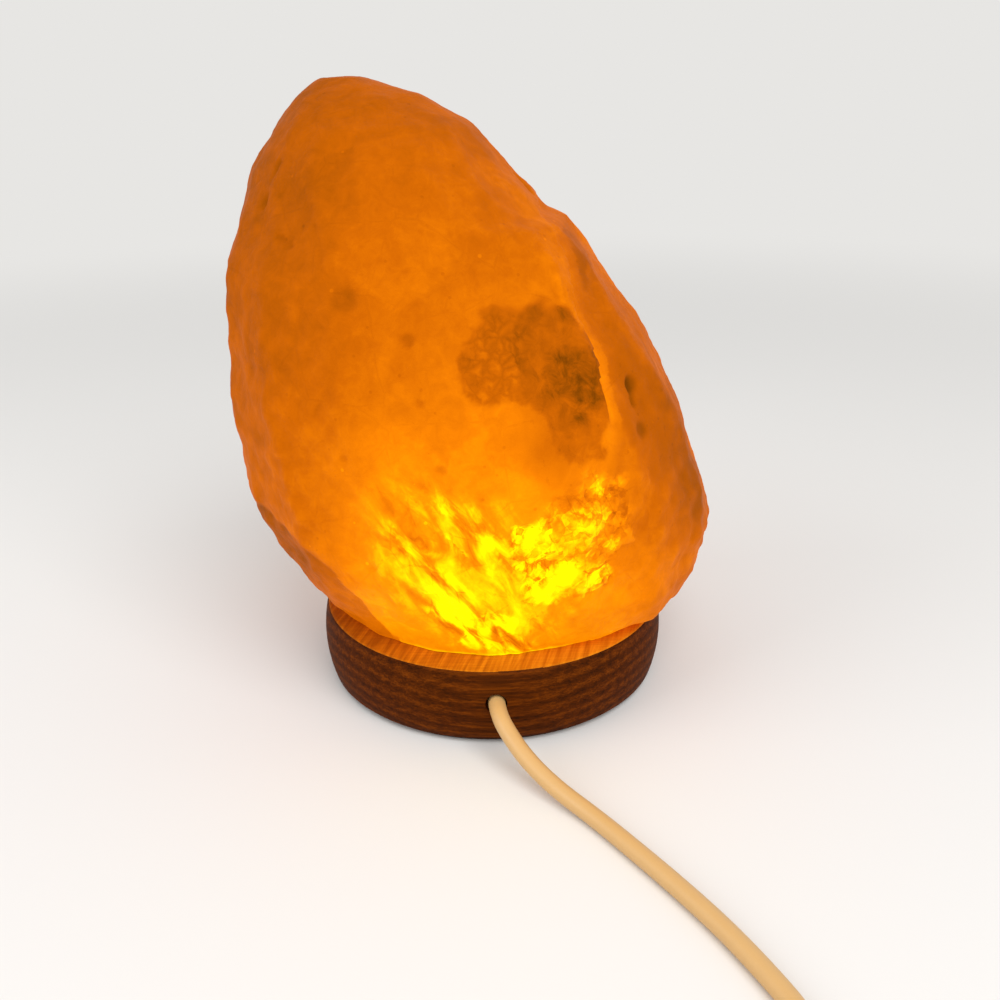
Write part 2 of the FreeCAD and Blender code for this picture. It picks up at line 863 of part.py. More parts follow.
def switch_corners(inset):
    half_length = switch_length / 2 - inset
    half_width = switch_width / 2 - inset
    nose = switch_nose_width / 2 - inset
    return mirrored_corners((
        (switch_length * 0.23, half_width, 7.0 - inset),
        (switch_length * 0.39, nose + 0.6, 6.0),
        (half_length, nose, 1.6),
    ))


def switch_body():
    """The whole closed housing, before it is split into its two shells."""
    body = slab(switch_corners(0), 0, switch_height)
    rims = level_edges(body, 0) + level_edges(body, switch_height)
    body = body.makeFillet(switch_edge_radius, rims)
    half = switch_length / 2
    inside = slab(switch_corners(switch_wall), switch_wall, switch_height - switch_wall)
    body = body.cut(inside)
    bore = rod_along(cord_width + 0.4, V(-half - 1, 0, switch_cord_height),
                     V(half + 1, 0, switch_cord_height))
    return body.cut(bore)


def switch_screw_place(side):
    return side * switch_screw_spacing / 2, -side * switch_screw_offset


def switch_pillars(low, high, width):
    return [rod(width, low, high, *switch_screw_place(side)) for side in (-1, 1)]


def half_space(low, high):
    return block((-switch_length, -switch_width, low), (switch_length, switch_width, high))


def switch_base():
    split = switch_cord_height
    shell = switch_body().common(half_space(-1, split))
    for pillar in switch_pillars(switch_wall / 2, split, 5.0):
        shell = shell.fuse(pillar)
    for side in (-1, 1):
        x, y = switch_screw_place(side)
        shell = shell.cut(rod(2.6 + 2 * fit_gap, -1, split + 1, x, y))
        shell = shell.cut(rod(5.0, -1, 1.6, x, y))
    bed = block((-3.2, -switch_bed_width / 2, switch_wall / 2),
                (3.2, switch_bed_width / 2, split - 1.2))
    return at_switch(shell.fuse(bed).removeSplitter())


def switch_cover():
    split = switch_cord_height
    shell = switch_body().common(half_space(split, switch_height + 1))
    ears = []
    for side in (-1, 1):
        inner = rocker_width / 2 + loose_gap
        low_y, high_y = sorted((side * inner, side * (inner + rocker_pin_length)))
        ears.append(block((-2.8, low_y, rocker_pivot_height - 2.4),
                          (2.8, high_y, switch_height - switch_wall / 2)))
    for pillar in switch_pillars(split, switch_height - switch_wall / 2, 5.0):
        shell = shell.fuse(pillar)
    shell = shell.fuse(ears)
    opening = block((-rocker_reach - loose_gap, -rocker_width / 2 - loose_gap, split - 1),
                    (rocker_reach + loose_gap, rocker_width / 2 + loose_gap, switch_height + 1))
    shell = shell.cut(opening)
    bore = rod_along(rocker_pin + 2 * running_gap, V(0, -switch_width / 2 + 3, rocker_pivot_height),
                     V(0, switch_width / 2 - 3, rocker_pivot_height))
    shell = shell.cut(bore)
    for side in (-1, 1):
        x, y = switch_screw_place(side)
        shell = shell.cut(rod(2.2, split - 1, switch_height - 2.4, x, y))
    return at_switch(shell.removeSplitter())


def switch_screws():
    screws = []
    for side in (-1, 1):
        x, y = switch_screw_place(side)
        head = rod(4.6, 0.2, 1.6, x, y).cut(block((x - 3, y - 0.35, -1), (x + 3, y + 0.35, 0.9)))
        shank = rod(2.1, 1.6, switch_height - 3.0, x, y)
        screws.append(head.fuse(shank))
    return at_switch(Part.makeCompound(screws))


def tilted(shape):
    """Turned about the rocker's pivot, its +X end down: the lamp is on."""
    shape.rotate(V(0, 0, rocker_pivot_height), V(0, 1, 0), rocker_tilt)
    return at_switch(shape)


def rocker():
    """Rocker with rounded ends about its pivot, a dished top, a cam below and two pivot pins."""
    reach = rocker_reach
    pivot = rocker_pivot_height

    def on_end(degrees, side):
        angle = math.radians(degrees)
        return side * reach * math.cos(angle), pivot + reach * math.sin(angle)

    low = -math.degrees(math.asin(rocker_underside / reach))
    outline = wire_of(
        on_end(low, -1), (on_end(14, -1), on_end(30, -1)),
        ((0, pivot + 3.5), on_end(30, 1)),
        (on_end(14, 1), on_end(low, 1)),
        (rocker_cam, pivot - rocker_underside),
        ((0, pivot - rocker_cam), (-rocker_cam, pivot - rocker_underside)),
    )
    body = Part.Face(outline).extrude(V(0, rocker_width, 0))
    body.translate(V(0, -rocker_width / 2, 0))
    pins = rod_along(rocker_pin, V(0, -rocker_width / 2 - rocker_pin_length + 0.2, pivot),
                     V(0, rocker_width / 2 + rocker_pin_length - 0.2, pivot))
    grooves = []
    for k in range(3):
        x = -6.6 + 1.5 * k
        grooves.append(rod_along(0.7, V(x, -rocker_width, pivot + 4.66 - 0.12 * k),
                                 V(x, rocker_width, pivot + 4.66 - 0.12 * k)))
    return tilted(body.cut(grooves).fuse(pins).removeSplitter())


def rocker_contact():
    """Brass strip under the rocker's live end, which closes the circuit when that end is down."""
    pivot = rocker_pivot_height
    top = pivot - rocker_underside
    reach = rocker_contact_reach
    pad = block((reach - 2.6, -2, top - contact_thickness), (reach + 1.8, 2, top))
    button = rod(rocker_button, pivot - rocker_contact_depth, top - contact_thickness, reach)
    return tilted(pad.fuse(button))


def fixed_contacts():
    """Two brass strips on the switch's bed: one under the rocker's contact, one under its cam."""
    pivot = rocker_pivot_height
    tilt = math.radians(rocker_tilt)
    outermost = rocker_contact_reach + rocker_button / 2
    clear = loose_gap + 0.05
    live_top = pivot - rocker_contact_depth * math.cos(tilt) - outermost * math.sin(tilt) - clear
    cam_top = pivot - rocker_cam - clear
    floor = switch_cord_height - 1.2
    live = strip(((-0.2, floor), (3.3, floor), (4.6, live_top - contact_thickness),
                  (8.6, live_top - contact_thickness)), contact_thickness, 3.6, 2.4)
    common = strip(((-9.0, floor), (-2.6, floor), (-0.9, cam_top - contact_thickness),
                    (0.9, cam_top - contact_thickness)), contact_thickness, 3.6, -2.4)
    return at_switch(Part.makeCompound([live, common]))


def sheath_ends():
    """The cord's sheath where it is gripped inside the switch's two noses."""
    half = switch_length / 2
    ends = [rod_along(cord_width, V(side * half, 0, switch_cord_height),
                      V(side * (half - 9.0), 0, switch_cord_height)) for side in (-1, 1)]
    return at_switch(Part.makeCompound(ends))


# ---- plug -------------------------------------------------------------------------------------

def plug_front():
    """X of the face that the pins stand out of."""
    return tail_route()[-1][0] + relief_length + plug_length


def at_plug(shape):
    end = coil_point(coil_turns / 2)
    shape.translate(V(plug_front(), end.y, 0))
    return shape


def plug_body():
    """Flat two-pin plug body, waisted for the fingers and drawn in towards the cord."""
    wide = plug_width / 2
    tail = plug_tail_width / 2
    upper = [
        (0.0, wide, 3.4),
        (-8.0, wide - 0.6, 8.0),
        (-0.55 * plug_length, tail + 5.2, 14.0),
        (-plug_length, tail, 3.0),
    ]
    lower = [(x, -y, r) for x, y, r in reversed(upper)]
    body = slab(lower + upper, 0, plug_thickness)
    rims = level_edges(body, 0) + level_edges(body, plug_thickness)
    return at_plug(body.makeFillet(plug_edge_radius, rims))


def plug_pins():
    pins = []
    for side in (-1, 1):
        y = side * pin_spacing / 2
        pin = rod_along(pin_width, V(0, y, plug_thickness / 2), V(pin_length, y, plug_thickness / 2))
        sleeve = rod_along(pin_width + 1, V(0, y, plug_thickness / 2),
                           V(pin_sleeve_length, y, plug_thickness / 2))
        core = rod_along(pin_width - 0.8, V(-1, y, plug_thickness / 2),
                         V(pin_sleeve_length + 1, y, plug_thickness / 2))
        pin = pin.cut(sleeve.cut(core))
        end = [e for e in pin.Edges if abs(e.BoundBox.XMin - pin_length) < 1e-4]
        pins.append(pin.makeFillet(1.2, end))
    return at_plug(Part.makeCompound(pins))


def pin_sleeves():
    sleeves = []
    for side in (-1, 1):
        y = side * pin_spacing / 2
        a, b = V(0, y, plug_thickness / 2), V(pin_sleeve_length, y, plug_thickness / 2)
        sleeves.append(rod_along(pin_width - 0.2, a, b).cut(rod_along(pin_width - 0.8, a, b)))
    return at_plug(Part.makeCompound(sleeves))


def plug_relief():
    """Tapered sleeve that keeps the cord from kinking at the plug, with its grooves."""
    start = -plug_length - relief_length
    relief = Part.makeCone(relief_tip_width / 2, relief_width / 2, relief_length,
                           V(start, 0, plug_thickness / 2), V(1, 0, 0))
    for k in range(4):
        x = start + 3.2 + 3.6 * k
        outer = rod_along(relief_width + 4, V(x, 0, plug_thickness / 2),
                          V(x + 1.4, 0, plug_thickness / 2))
        inner = rod_along(cord_width + 0.6, V(x - 1, 0, plug_thickness / 2),
                          V(x + 3, 0, plug_thickness / 2))
        relief = relief.cut(outer.cut(inner))
    return at_plug(relief)


# ---- the lamp ---------------------------------------------------------------------------------

SUB_PARTS = (
    salt_crystal, wooden_base, base_pad, mounting_plate, plate_screws, nipple, nipple_nut,
    holder_cap, cap_lock_screw, holder_sleeve, terminal_block, screw_shell, centre_contact,
    terminal_screws, holder_cores, bulb_cap, bulb_insulator, bulb_tip, bulb_glass, bulb_stem,
    lead_wires, support_wire, filament, cord_inner, cord_lead, cord_link, cord_coil, cord_tail,
    switch_base, switch_cover, switch_screws, rocker, rocker_contact, fixed_contacts,
    sheath_ends, plug_body, plug_pins, pin_sleeves, plug_relief,
)

os.makedirs("parts", exist_ok=True)
for make in SUB_PARTS:
    shape = make()
    print(f"{make.__name__}: {len(shape.Solids)} solid(s), {shape.Volume:.1f} mm3, valid {shape.isValid()}")
    shape.exportStep(f"parts/{make.__name__}.step")
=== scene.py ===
import json
import math

import bpy
from mathutils import Matrix, Vector, noise

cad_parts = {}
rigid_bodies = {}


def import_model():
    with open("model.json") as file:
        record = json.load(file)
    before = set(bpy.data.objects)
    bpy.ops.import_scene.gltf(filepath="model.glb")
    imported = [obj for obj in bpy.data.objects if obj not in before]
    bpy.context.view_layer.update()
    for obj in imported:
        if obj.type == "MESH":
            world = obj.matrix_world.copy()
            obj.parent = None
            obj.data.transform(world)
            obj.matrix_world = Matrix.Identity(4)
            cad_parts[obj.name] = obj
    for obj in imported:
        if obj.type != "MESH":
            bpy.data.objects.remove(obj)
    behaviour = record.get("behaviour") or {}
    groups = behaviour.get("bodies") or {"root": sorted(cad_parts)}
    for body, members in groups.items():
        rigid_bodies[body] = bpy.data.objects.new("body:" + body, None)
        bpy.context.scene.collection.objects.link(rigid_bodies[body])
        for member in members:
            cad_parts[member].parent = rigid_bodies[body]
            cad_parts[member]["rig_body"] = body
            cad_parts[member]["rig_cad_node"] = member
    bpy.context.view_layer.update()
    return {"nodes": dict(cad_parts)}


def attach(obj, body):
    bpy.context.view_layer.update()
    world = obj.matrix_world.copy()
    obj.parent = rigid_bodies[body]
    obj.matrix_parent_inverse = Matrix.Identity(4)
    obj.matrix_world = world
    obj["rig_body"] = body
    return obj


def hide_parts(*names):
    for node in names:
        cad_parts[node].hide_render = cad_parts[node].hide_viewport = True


# Salt crystal lamp: the block of rock salt is sculpted over its CAD solid, the cord is laid along
# its route, and every other piece keeps its CAD shape and gets its finish here.
# Metres, +Z up, the cord leaves towards -Y. Lengths named in mm are scaled by MM.

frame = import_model()

MM = 0.001

# ---- camera and stage ---------------------------------------------------------------------------

CAMERA_PLACE = (-3.64, -321.99, 188.64)     # mm
CAMERA_HEADING = 1.2                        # degrees from +Y towards +X
CAMERA_PITCH = 22.09                        # degrees down
CAMERA_ROLL = -0.75                         # degrees
CAMERA_LENS = 37.44                         # mm
SENSOR = 36.0                               # mm
CLIP_START = 0.01                           # m

STAGE_COLOUR = (0.80, 0.79, 0.77)
STAGE_RADIUS = 12.0                         # m, as are the places and sizes of the lamps
STAGE_FADE = (0.3, 1.1)                     # where the floor starts and ends to turn plain
STAGE_SIDES = 96
SKY_LIGHT = 0.62
LAMP_AIM = (0.0, 0.0, 0.09)
KEY_PLACE = (0.35, -0.85, 0.95)
KEY_POWER = 11.0
KEY_SIZE = 0.9
FILL_PLACE = (-0.8, -0.35, 0.55)
FILL_POWER = 3.0
FILL_SIZE = 0.7


def linear(r, g, b):
    """A colour written as 0 to 255 in sRGB, as the shader's linear values."""
    def channel(v):
        v /= 255
        return v / 12.92 if v <= 0.04045 else ((v + 0.055) / 1.055) ** 2.4
    return channel(r), channel(g), channel(b), 1.0


def place_camera():
    """The camera looks down at the lamp's front from above the cord."""
    data = bpy.data.cameras.new("camera")
    data.lens = CAMERA_LENS
    data.sensor_width = SENSOR
    data.clip_start = CLIP_START
    camera = bpy.data.objects.new("camera", data)
    bpy.context.scene.collection.objects.link(camera)
    camera.matrix_world = (
        Matrix.Translation(Vector(CAMERA_PLACE) * MM)
        @ Matrix.Rotation(math.radians(-CAMERA_HEADING), 4, "Z")
        @ Matrix.Rotation(math.radians(90 - CAMERA_PITCH), 4, "X")
        @ Matrix.Rotation(math.radians(CAMERA_ROLL), 4, "Z")
    )
    bpy.context.scene.camera = camera


# ---- node helpers -------------------------------------------------------------------------------

class Nodes:
    """Adds and links the nodes of one material or group."""

    def __init__(self, tree):
        self.tree = tree

    def add(self, kind, **settings):
        node = self.tree.nodes.new(kind)
        for name, value in settings.items():
            setattr(node, name, value)
        return node

    def feed(self, source, target):
        """Links a socket, or sets a plain value, on a target socket."""
        if isinstance(source, bpy.types.NodeSocket):
            self.tree.links.new(source, target)
        else:
            target.default_value = source

    def math(self, operation, a, b=0.0, clamp=False):
        node = self.add("ShaderNodeMath", operation=operation, use_clamp=clamp)
        self.feed(a, node.inputs[0])
        self.feed(b, node.inputs[1])
        return node.outputs[0]

    def mix(self, factor, a, b):
        node = self.add("ShaderNodeMix", data_type="RGBA")
        self.feed(factor, node.inputs["Factor"])
        self.feed(a, node.inputs[6])
        self.feed(b, node.inputs[7])
        return node.outputs[2]

    def ramp(self, factor, stops):
        """A colour ramp through (place, sRGB colour) stops."""
        node = self.add("ShaderNodeValToRGB")
        elements = node.color_ramp.elements
        while len(elements) < len(stops):
            elements.new(0.5)
        for element, (place, colour) in zip(elements, stops):
            element.position = place
            element.color = linear(*colour)
        self.feed(factor, node.inputs["Fac"])
        return node.outputs["Color"]

    def noise(self, vector, scale, detail=2.0, roughness=0.5, distortion=0.0):
        node = self.add("ShaderNodeTexNoise")
        self.feed(vector, node.inputs["Vector"])
        node.inputs["Scale"].default_value = scale
        node.inputs["Detail"].default_value = detail
        node.inputs["Roughness"].default_value = roughness
        node.inputs["Distortion"].default_value = distortion
        return node.outputs["Fac"]

    def cells(self, vector, feature="F1", output="Distance"):
        node = self.add("ShaderNodeTexVoronoi", feature=feature)
        self.feed(vector, node.inputs["Vector"])
        node.inputs["Scale"].default_value = 1.0
        return node.outputs[output]

    def below(self, value, limit):
        """1 where a value is under the limit, 0 elsewhere."""
        return self.math("LESS_THAN", value, limit)

    def swing(self, value, amount, middle=0.5):
        """A 0 to 1 value about its middle, times an amount."""
        return self.math("MULTIPLY", self.math("SUBTRACT", value, middle), amount)

    def pattern(self, size=(1.0, 1.0, 1.0), turn=(0.0, 0.0, 0.0), middle=(0.0, 0.0, 0.0)):
        """Object coordinates about a pattern's middle, turned with it and counted in its sizes."""
        mapping = self.add("ShaderNodeMapping", vector_type="TEXTURE")
        self.feed(self.add("ShaderNodeTexCoord").outputs["Object"], mapping.inputs["Vector"])
        mapping.inputs["Location"].default_value = [v * MM for v in middle]
        mapping.inputs["Rotation"].default_value = [math.radians(a) for a in turn]
        mapping.inputs["Scale"].default_value = [v * MM for v in size]
        return mapping.outputs["Vector"]

    def bump(self, height, strength, distance_mm):
        node = self.add("ShaderNodeBump")
        node.inputs["Strength"].default_value = strength
        node.inputs["Distance"].default_value = distance_mm * MM
        self.feed(height, node.inputs["Height"])
        return node.outputs["Normal"]


def new_material(name):
    """A material with its Principled shader, and the helper that adds the rest."""
    material = bpy.data.materials.new(name)
    material.use_nodes = True
    shader = material.node_tree.nodes["Principled BSDF"]
    return material, Nodes(material.node_tree), shader


def shader_group(name, inputs, outputs):
    """An empty node group with its sockets: (name, kind, default) in and (name, kind) out."""
    tree = bpy.data.node_groups.new(name, "ShaderNodeTree")
    for label, kind, default in inputs:
        socket = tree.interface.new_socket(label, in_out="INPUT", socket_type=kind)
        socket.default_value = default
    for label, kind in outputs:
        tree.interface.new_socket(label, in_out="OUTPUT", socket_type=kind)
    nodes = Nodes(tree)
    return tree, nodes, nodes.add("NodeGroupInput"), nodes.add("NodeGroupOutput")


def use_group(nodes, tree, **values):
    """A group's node, with values given by the names of its sockets."""
    node = nodes.add("ShaderNodeGroup", node_tree=tree)
    for label, value in values.items():
        nodes.feed(value, node.inputs[label.replace("_", " ")])
    return node


def make_surface_group():
    """Slight unevenness in tone and height that moulded, turned and rolled surfaces all have."""
    tree, nodes, given, result = shader_group(
        "uneven_surface",
        [("Colour", "NodeSocketColor", (0.8, 0.8, 0.8, 1.0)),
         ("Grain", "NodeSocketFloat", 1.0),
         ("Tone", "NodeSocketFloat", 0.08),
         ("Roughness", "NodeSocketFloat", 0.5)],
        [("Colour", "NodeSocketColor"),
         ("Roughness", "NodeSocketFloat"),
         ("Height", "NodeSocketFloat")],
    )
    vector = nodes.add("ShaderNodeVectorMath", operation="SCALE")
    nodes.feed(nodes.pattern(), vector.inputs[0])
    nodes.feed(given.outputs["Grain"], vector.inputs["Scale"])
    fine = nodes.noise(vector.outputs[0], 1.6, 3.0, 0.6)
    broad = nodes.noise(vector.outputs[0], 0.12, 2.0, 0.5)
    drift = nodes.math("SUBTRACT", nodes.math("ADD", fine, broad), 1.0)
    level = nodes.math("ADD", 1.0, nodes.math("MULTIPLY", drift, given.outputs["Tone"]))
    tint = nodes.add("ShaderNodeVectorMath", operation="SCALE")
    nodes.feed(given.outputs["Colour"], tint.inputs[0])
    nodes.feed(level, tint.inputs["Scale"])
    nodes.feed(tint.outputs[0], result.inputs["Colour"])
    rough = nodes.math("MULTIPLY_ADD", drift, 0.35)
    nodes.feed(given.outputs["Roughness"], rough.node.inputs[2])
    nodes.feed(rough, result.inputs["Roughness"])
    nodes.feed(fine, result.inputs["Height"])
    return tree


# ---- materials ----------------------------------------------------------------------------------

uneven_surface = make_surface_group()


def finish_material(name, colour, roughness, tone=0.08, grain=1.0, relief=0.1, metallic=0.0,
                    **plain):
    """A plain-coloured finish with the uneven surface; plain values go on the shader's sockets."""
    material, nodes, shader = new_material(name)
    group = use_group(nodes, uneven_surface, Colour=linear(*colour), Grain=grain, Tone=tone,
                      Roughness=roughness)
    nodes.feed(group.outputs["Colour"], shader.inputs["Base Color"])
    nodes.feed(group.outputs["Roughness"], shader.inputs["Roughness"])
    nodes.feed(nodes.bump(group.outputs["Height"], relief, 0.1), shader.inputs["Normal"])
    shader.inputs["Metallic"].default_value = metallic
    for label, value in plain.items():
        shader.inputs[label.replace("_", " ")].default_value = value
    return material


def glass_material(name, colour):
    """Clear blown glass, very slightly uneven."""
    material, nodes, shader = new_material(name)
    group = use_group(nodes, uneven_surface, Colour=linear(*colour), Grain=0.4, Tone=0.03)
    nodes.feed(group.outputs["Colour"], shader.inputs["Base Color"])
    nodes.feed(nodes.bump(group.outputs["Height"], 0.03, 0.1), shader.inputs["Normal"])
    shader.inputs["Roughness"].default_value = 0.02
    shader.inputs["Transmission Weight"].default_value = 1.0
    shader.inputs["IOR"].default_value = 1.5
    return material


# What the sculpting writes on each point of the block for its material.
MARKS = ("light", "streak", "crumple", "haze", "grains")

FIBRE_TURN = 58.0           # degrees that the fibres of the salt lean down to the right

# Colours by how light the salt is: what shines through it, and its own colour, which carries the
# same painted light and shade.
GLOW = (
    (0.0, (60, 28, 0)), (0.15, (108, 54, 0)), (0.30, (156, 74, 0)), (0.45, (186, 90, 0)),
    (0.60, (222, 116, 0)), (0.72, (238, 146, 0)), (0.84, (250, 200, 0)), (1.0, (255, 250, 0)),
)
SALT_COLOUR_WITH_PAINTED_LIGHT = ((0.1, (84, 40, 2)), (0.4, (112, 52, 3)), (0.9, (140, 76, 4)))


def salt_material():
    """Rock salt lit from inside: the sculpting marks on the mesh how light each place is and where
    the block is broken, and clouds, mottles, cracks and specks are laid over that."""
    material, nodes, shader = new_material("lit_rock_salt")
    light, streak, crumple, haze, grains = (
        nodes.add("ShaderNodeAttribute", attribute_name=name).outputs["Fac"] for name in MARKS)

    def even(size):
        return nodes.pattern(size=(size, size, size))

    # Patterns all over the block, of these sizes in mm.
    lean = (0, FIBRE_TURN, 0)
    cloud = nodes.noise(even(26), 1.0, 4.0, 0.55, 0.4)
    mottle = nodes.noise(even(5), 1.0, 5.0, 0.68, 0.5)
    grit = nodes.noise(even(0.8), 1.0, 2.0, 0.6)
    speck = nodes.below(nodes.cells(even(6)), 0.085)
    # Sparse small bright spots: painted glints.
    painted_glints = nodes.below(nodes.cells(even(11)), 0.05)
    faults = nodes.cells(nodes.pattern(size=(23, 23, 23), turn=(20, 30, 10)), "DISTANCE_TO_EDGE")
    fault = nodes.below(faults, nodes.swing(mottle, 0.16))

    # Patterns of the streaked, broken and grainy areas.
    flame = nodes.noise(nodes.pattern(size=(15, 10, 5.4), turn=lean), 1.0, 4.0, 0.52, 0.7)
    foil = nodes.noise(even(4), 1.0, 3.0, 0.6, 0.3)
    flakes = nodes.cells(nodes.pattern(size=(5.5, 5.5, 5.5), turn=(10, 25, 0)), output="Color")
    chips = nodes.cells(nodes.pattern(size=(2.6, 2.2, 1.7), turn=(0, -35, 15)), output="Color")
    seams = nodes.cells(nodes.pattern(size=(12, 6, 5), turn=lean), "DISTANCE_TO_EDGE")
    seam = nodes.below(seams, nodes.swing(mottle, 0.3, 0.42))
    broken = nodes.math("MAXIMUM", nodes.math("MULTIPLY", streak, 0.5), crumple)
    bent = nodes.add("ShaderNodeVectorMath", operation="MULTIPLY_ADD")
    nodes.feed(nodes.noise(even(3), 1.0, 2.0, 0.6), bent.inputs[0])
    bent.inputs[1].default_value = (0.9, 0.9, 0.9)
    nodes.feed(even(3.3), bent.inputs[2])
    net = nodes.math("MULTIPLY", nodes.cells(bent.outputs[0], "DISTANCE_TO_EDGE"), 3.0, clamp=True)

    # How light the salt is, as the sum of what each pattern adds or takes, and where it does.
    shade = nodes.math("ADD", 0.31, nodes.swing(mottle, 0.8))
    level = light
    for amount, area_mark in (
        (nodes.swing(cloud, 0.20), None),
        (nodes.swing(mottle, 0.17), None),
        (nodes.swing(grit, 0.03), None),
        (nodes.swing(flame, 1.7, 0.48), streak),
        (nodes.swing(foil, 1.1), crumple),
        (nodes.swing(flakes, 0.42), crumple),
        (nodes.swing(chips, 0.42), crumple),
        (nodes.math("MULTIPLY", shade, -1.0), haze),
        (nodes.swing(net, 0.24, 0.35), grains),
        (nodes.math("MULTIPLY", fault, -0.03), None),
        (nodes.math("MULTIPLY", painted_glints, 0.08), None),
        (nodes.math("MULTIPLY", seam, -0.12), broken),
        (nodes.math("MULTIPLY", speck, -0.05), None),
    ):
        if area_mark is not None:
            amount = nodes.math("MULTIPLY", amount, area_mark)
        level = nodes.math("ADD", level, amount)
    nodes.feed(nodes.ramp(level, GLOW), shader.inputs["Emission Color"])
    shader.inputs["Emission Strength"].default_value = 1.0
    # The salt's own colour follows the glow's level, so the glow's light and shade (darker at the
    # foot, sides, bevel, pits and creases) is painted into its base colour.
    salt = nodes.ramp(nodes.math("ADD", level, nodes.swing(mottle, 0.3)), SALT_COLOUR_WITH_PAINTED_LIGHT)
    nodes.feed(salt, shader.inputs["Base Color"])
    shader.inputs["Roughness"].default_value = 0.5
    shader.inputs["Specular IOR Level"].default_value = 0.02
    shader.inputs["Specular Tint"].default_value = (1.0, 0.5, 0.05, 1.0)
    height = nodes.math("ADD", mottle, nodes.math("MULTIPLY", grit, 0.3))
    tongues = nodes.math("MULTIPLY", nodes.math("MULTIPLY", flame, streak), 1.5)
    height = nodes.math("ADD", height, tongues)
    height = nodes.math("ADD", height, nodes.math("MULTIPLY", foil, crumple))
    nodes.feed(nodes.bump(height, 0.5, 0.8), shader.inputs["Normal"])
    return material


BASE_RADIUS = 57.0          # mm
STAINED_WOOD = ((0.25, (42, 15, 0)), (0.5, (76, 31, 0)), (0.75, (114, 53, 2)))
# The sawn top's colours: pale wood, with the orange glow of the lit block painted in.
SAWN_WOOD_AND_GLOW = ((0.3, (154, 80, 6)), (0.5, (190, 106, 10)), (0.7, (222, 136, 20)))


def wood_material():
    """Turned softwood: the grain runs along X, so the front shows streaks and the ends show rings.
    The top is sawn and paler than the stained side, and its orange is partly painted glow from the
    lit block above it; its paling towards +X is painted light."""
    material, nodes, shader = new_material("turned_wood")
    fibre = nodes.noise(nodes.pattern(size=(46, 1.5, 1.1)), 1.0, 5.0, 0.66, 0.15)
    fine = nodes.noise(nodes.pattern(size=(14, 0.35, 0.35)), 1.0, 3.0, 0.6)
    pores = nodes.below(nodes.cells(nodes.pattern(size=(9, 0.9, 0.9))), 0.16)
    rings = nodes.add("ShaderNodeTexWave", wave_type="RINGS", rings_direction="X")
    nodes.feed(nodes.pattern(size=(9, 1, 1), middle=(0, -34, -58)), rings.inputs["Vector"])
    rings.inputs["Scale"].default_value = 0.075
    rings.inputs["Distortion"].default_value = 3.0
    rings.inputs["Detail"].default_value = 2.0
    rings.inputs["Detail Scale"].default_value = 0.06
    tone = nodes.math("ADD", nodes.math("MULTIPLY", rings.outputs["Fac"], 0.16),
                      nodes.math("MULTIPLY", fibre, 0.86))
    tone = nodes.math("ADD", tone, nodes.swing(fine, 0.5))
    tone = nodes.math("SUBTRACT", tone, nodes.math("MULTIPLY", pores, 0.14))
    side = nodes.ramp(tone, STAINED_WOOD)
    saw = nodes.noise(nodes.pattern(size=(1.5, 26, 26), turn=(0, 0, -15)), 1.0, 3.0, 0.55, 0.2)
    across = nodes.add("ShaderNodeSeparateXYZ")
    nodes.feed(nodes.pattern(size=(BASE_RADIUS, BASE_RADIUS, BASE_RADIUS)), across.inputs[0])
    pale = nodes.math("ADD", nodes.math("MULTIPLY", saw, 0.7), nodes.math("MULTIPLY", fine, 0.3))
    # Paler towards +X: painted light.
    pale = nodes.math("ADD", pale, nodes.math("MULTIPLY", across.outputs["X"], 0.14))
    sawn = nodes.ramp(pale, SAWN_WOOD_AND_GLOW)
    up = nodes.add("ShaderNodeSeparateXYZ")
    nodes.feed(nodes.add("ShaderNodeNewGeometry").outputs["True Normal"], up.inputs[0])
    top = nodes.math("GREATER_THAN", up.outputs["Z"], 0.8)
    nodes.feed(nodes.mix(top, side, sawn), shader.inputs["Base Color"])
    height = nodes.math("ADD", nodes.math("MULTIPLY", nodes.math("MULTIPLY", saw, top), 0.7),
                        nodes.math("MULTIPLY", fine, 0.4))
    nodes.feed(nodes.bump(height, 0.35, 0.3), shader.inputs["Normal"])
    rough = nodes.math("MULTIPLY_ADD", fine, 0.25)
    rough.node.inputs[2].default_value = 0.5
    nodes.feed(rough, shader.inputs["Roughness"])
    shader.inputs["Specular IOR Level"].default_value = 0.04
    return material


# ---- mesh helpers -------------------------------------------------------------------------------

MERGE_REACH = 1e-6          # m
SHARP_EDGE = 32.0           # degrees


def pick(piece):
    """Selects one piece alone."""
    bpy.ops.object.select_all(action="DESELECT")
    piece.select_set(True)
    bpy.context.view_layer.objects.active = piece


def apply_modifier(piece, kind, **settings):
    """Adds one modifier to a piece and applies it."""
    pick(piece)
    modifier = piece.modifiers.new(kind.lower(), kind)
    for name, value in settings.items():
        setattr(modifier, name, value)
    bpy.ops.object.modifier_apply(modifier=modifier.name)


def merged_copy(node, name):
    """A CAD node's mesh as a piece of its own, with its loose triangles joined."""
    piece = frame["nodes"][node].copy()
    piece.data = piece.data.copy()
    piece.name = name
    piece.parent = None
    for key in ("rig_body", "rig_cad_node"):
        del piece[key]
    bpy.context.scene.collection.objects.link(piece)
    pick(piece)
    bpy.ops.object.mode_set(mode="EDIT")
    bpy.ops.mesh.select_all(action="SELECT")
    bpy.ops.mesh.remove_doubles(threshold=MERGE_REACH)
    bpy.ops.object.mode_set(mode="OBJECT")
    return piece


def smoothstep(low, high, value):
    """0 at low and 1 at high, which may be the lesser of the two."""
    t = min(max((value - low) / (high - low), 0.0), 1.0)
    return t * t * (3 - 2 * t)


def step_along(points, value):
    """Straight interpolation through (place, amount) pairs."""
    if value <= points[0][0]:
        return points[0][1]
    for (a, low), (b, high) in zip(points, points[1:]):
        if value <= b:
            return low + (high - low) * (value - a) / (b - a)
    return points[-1][1]


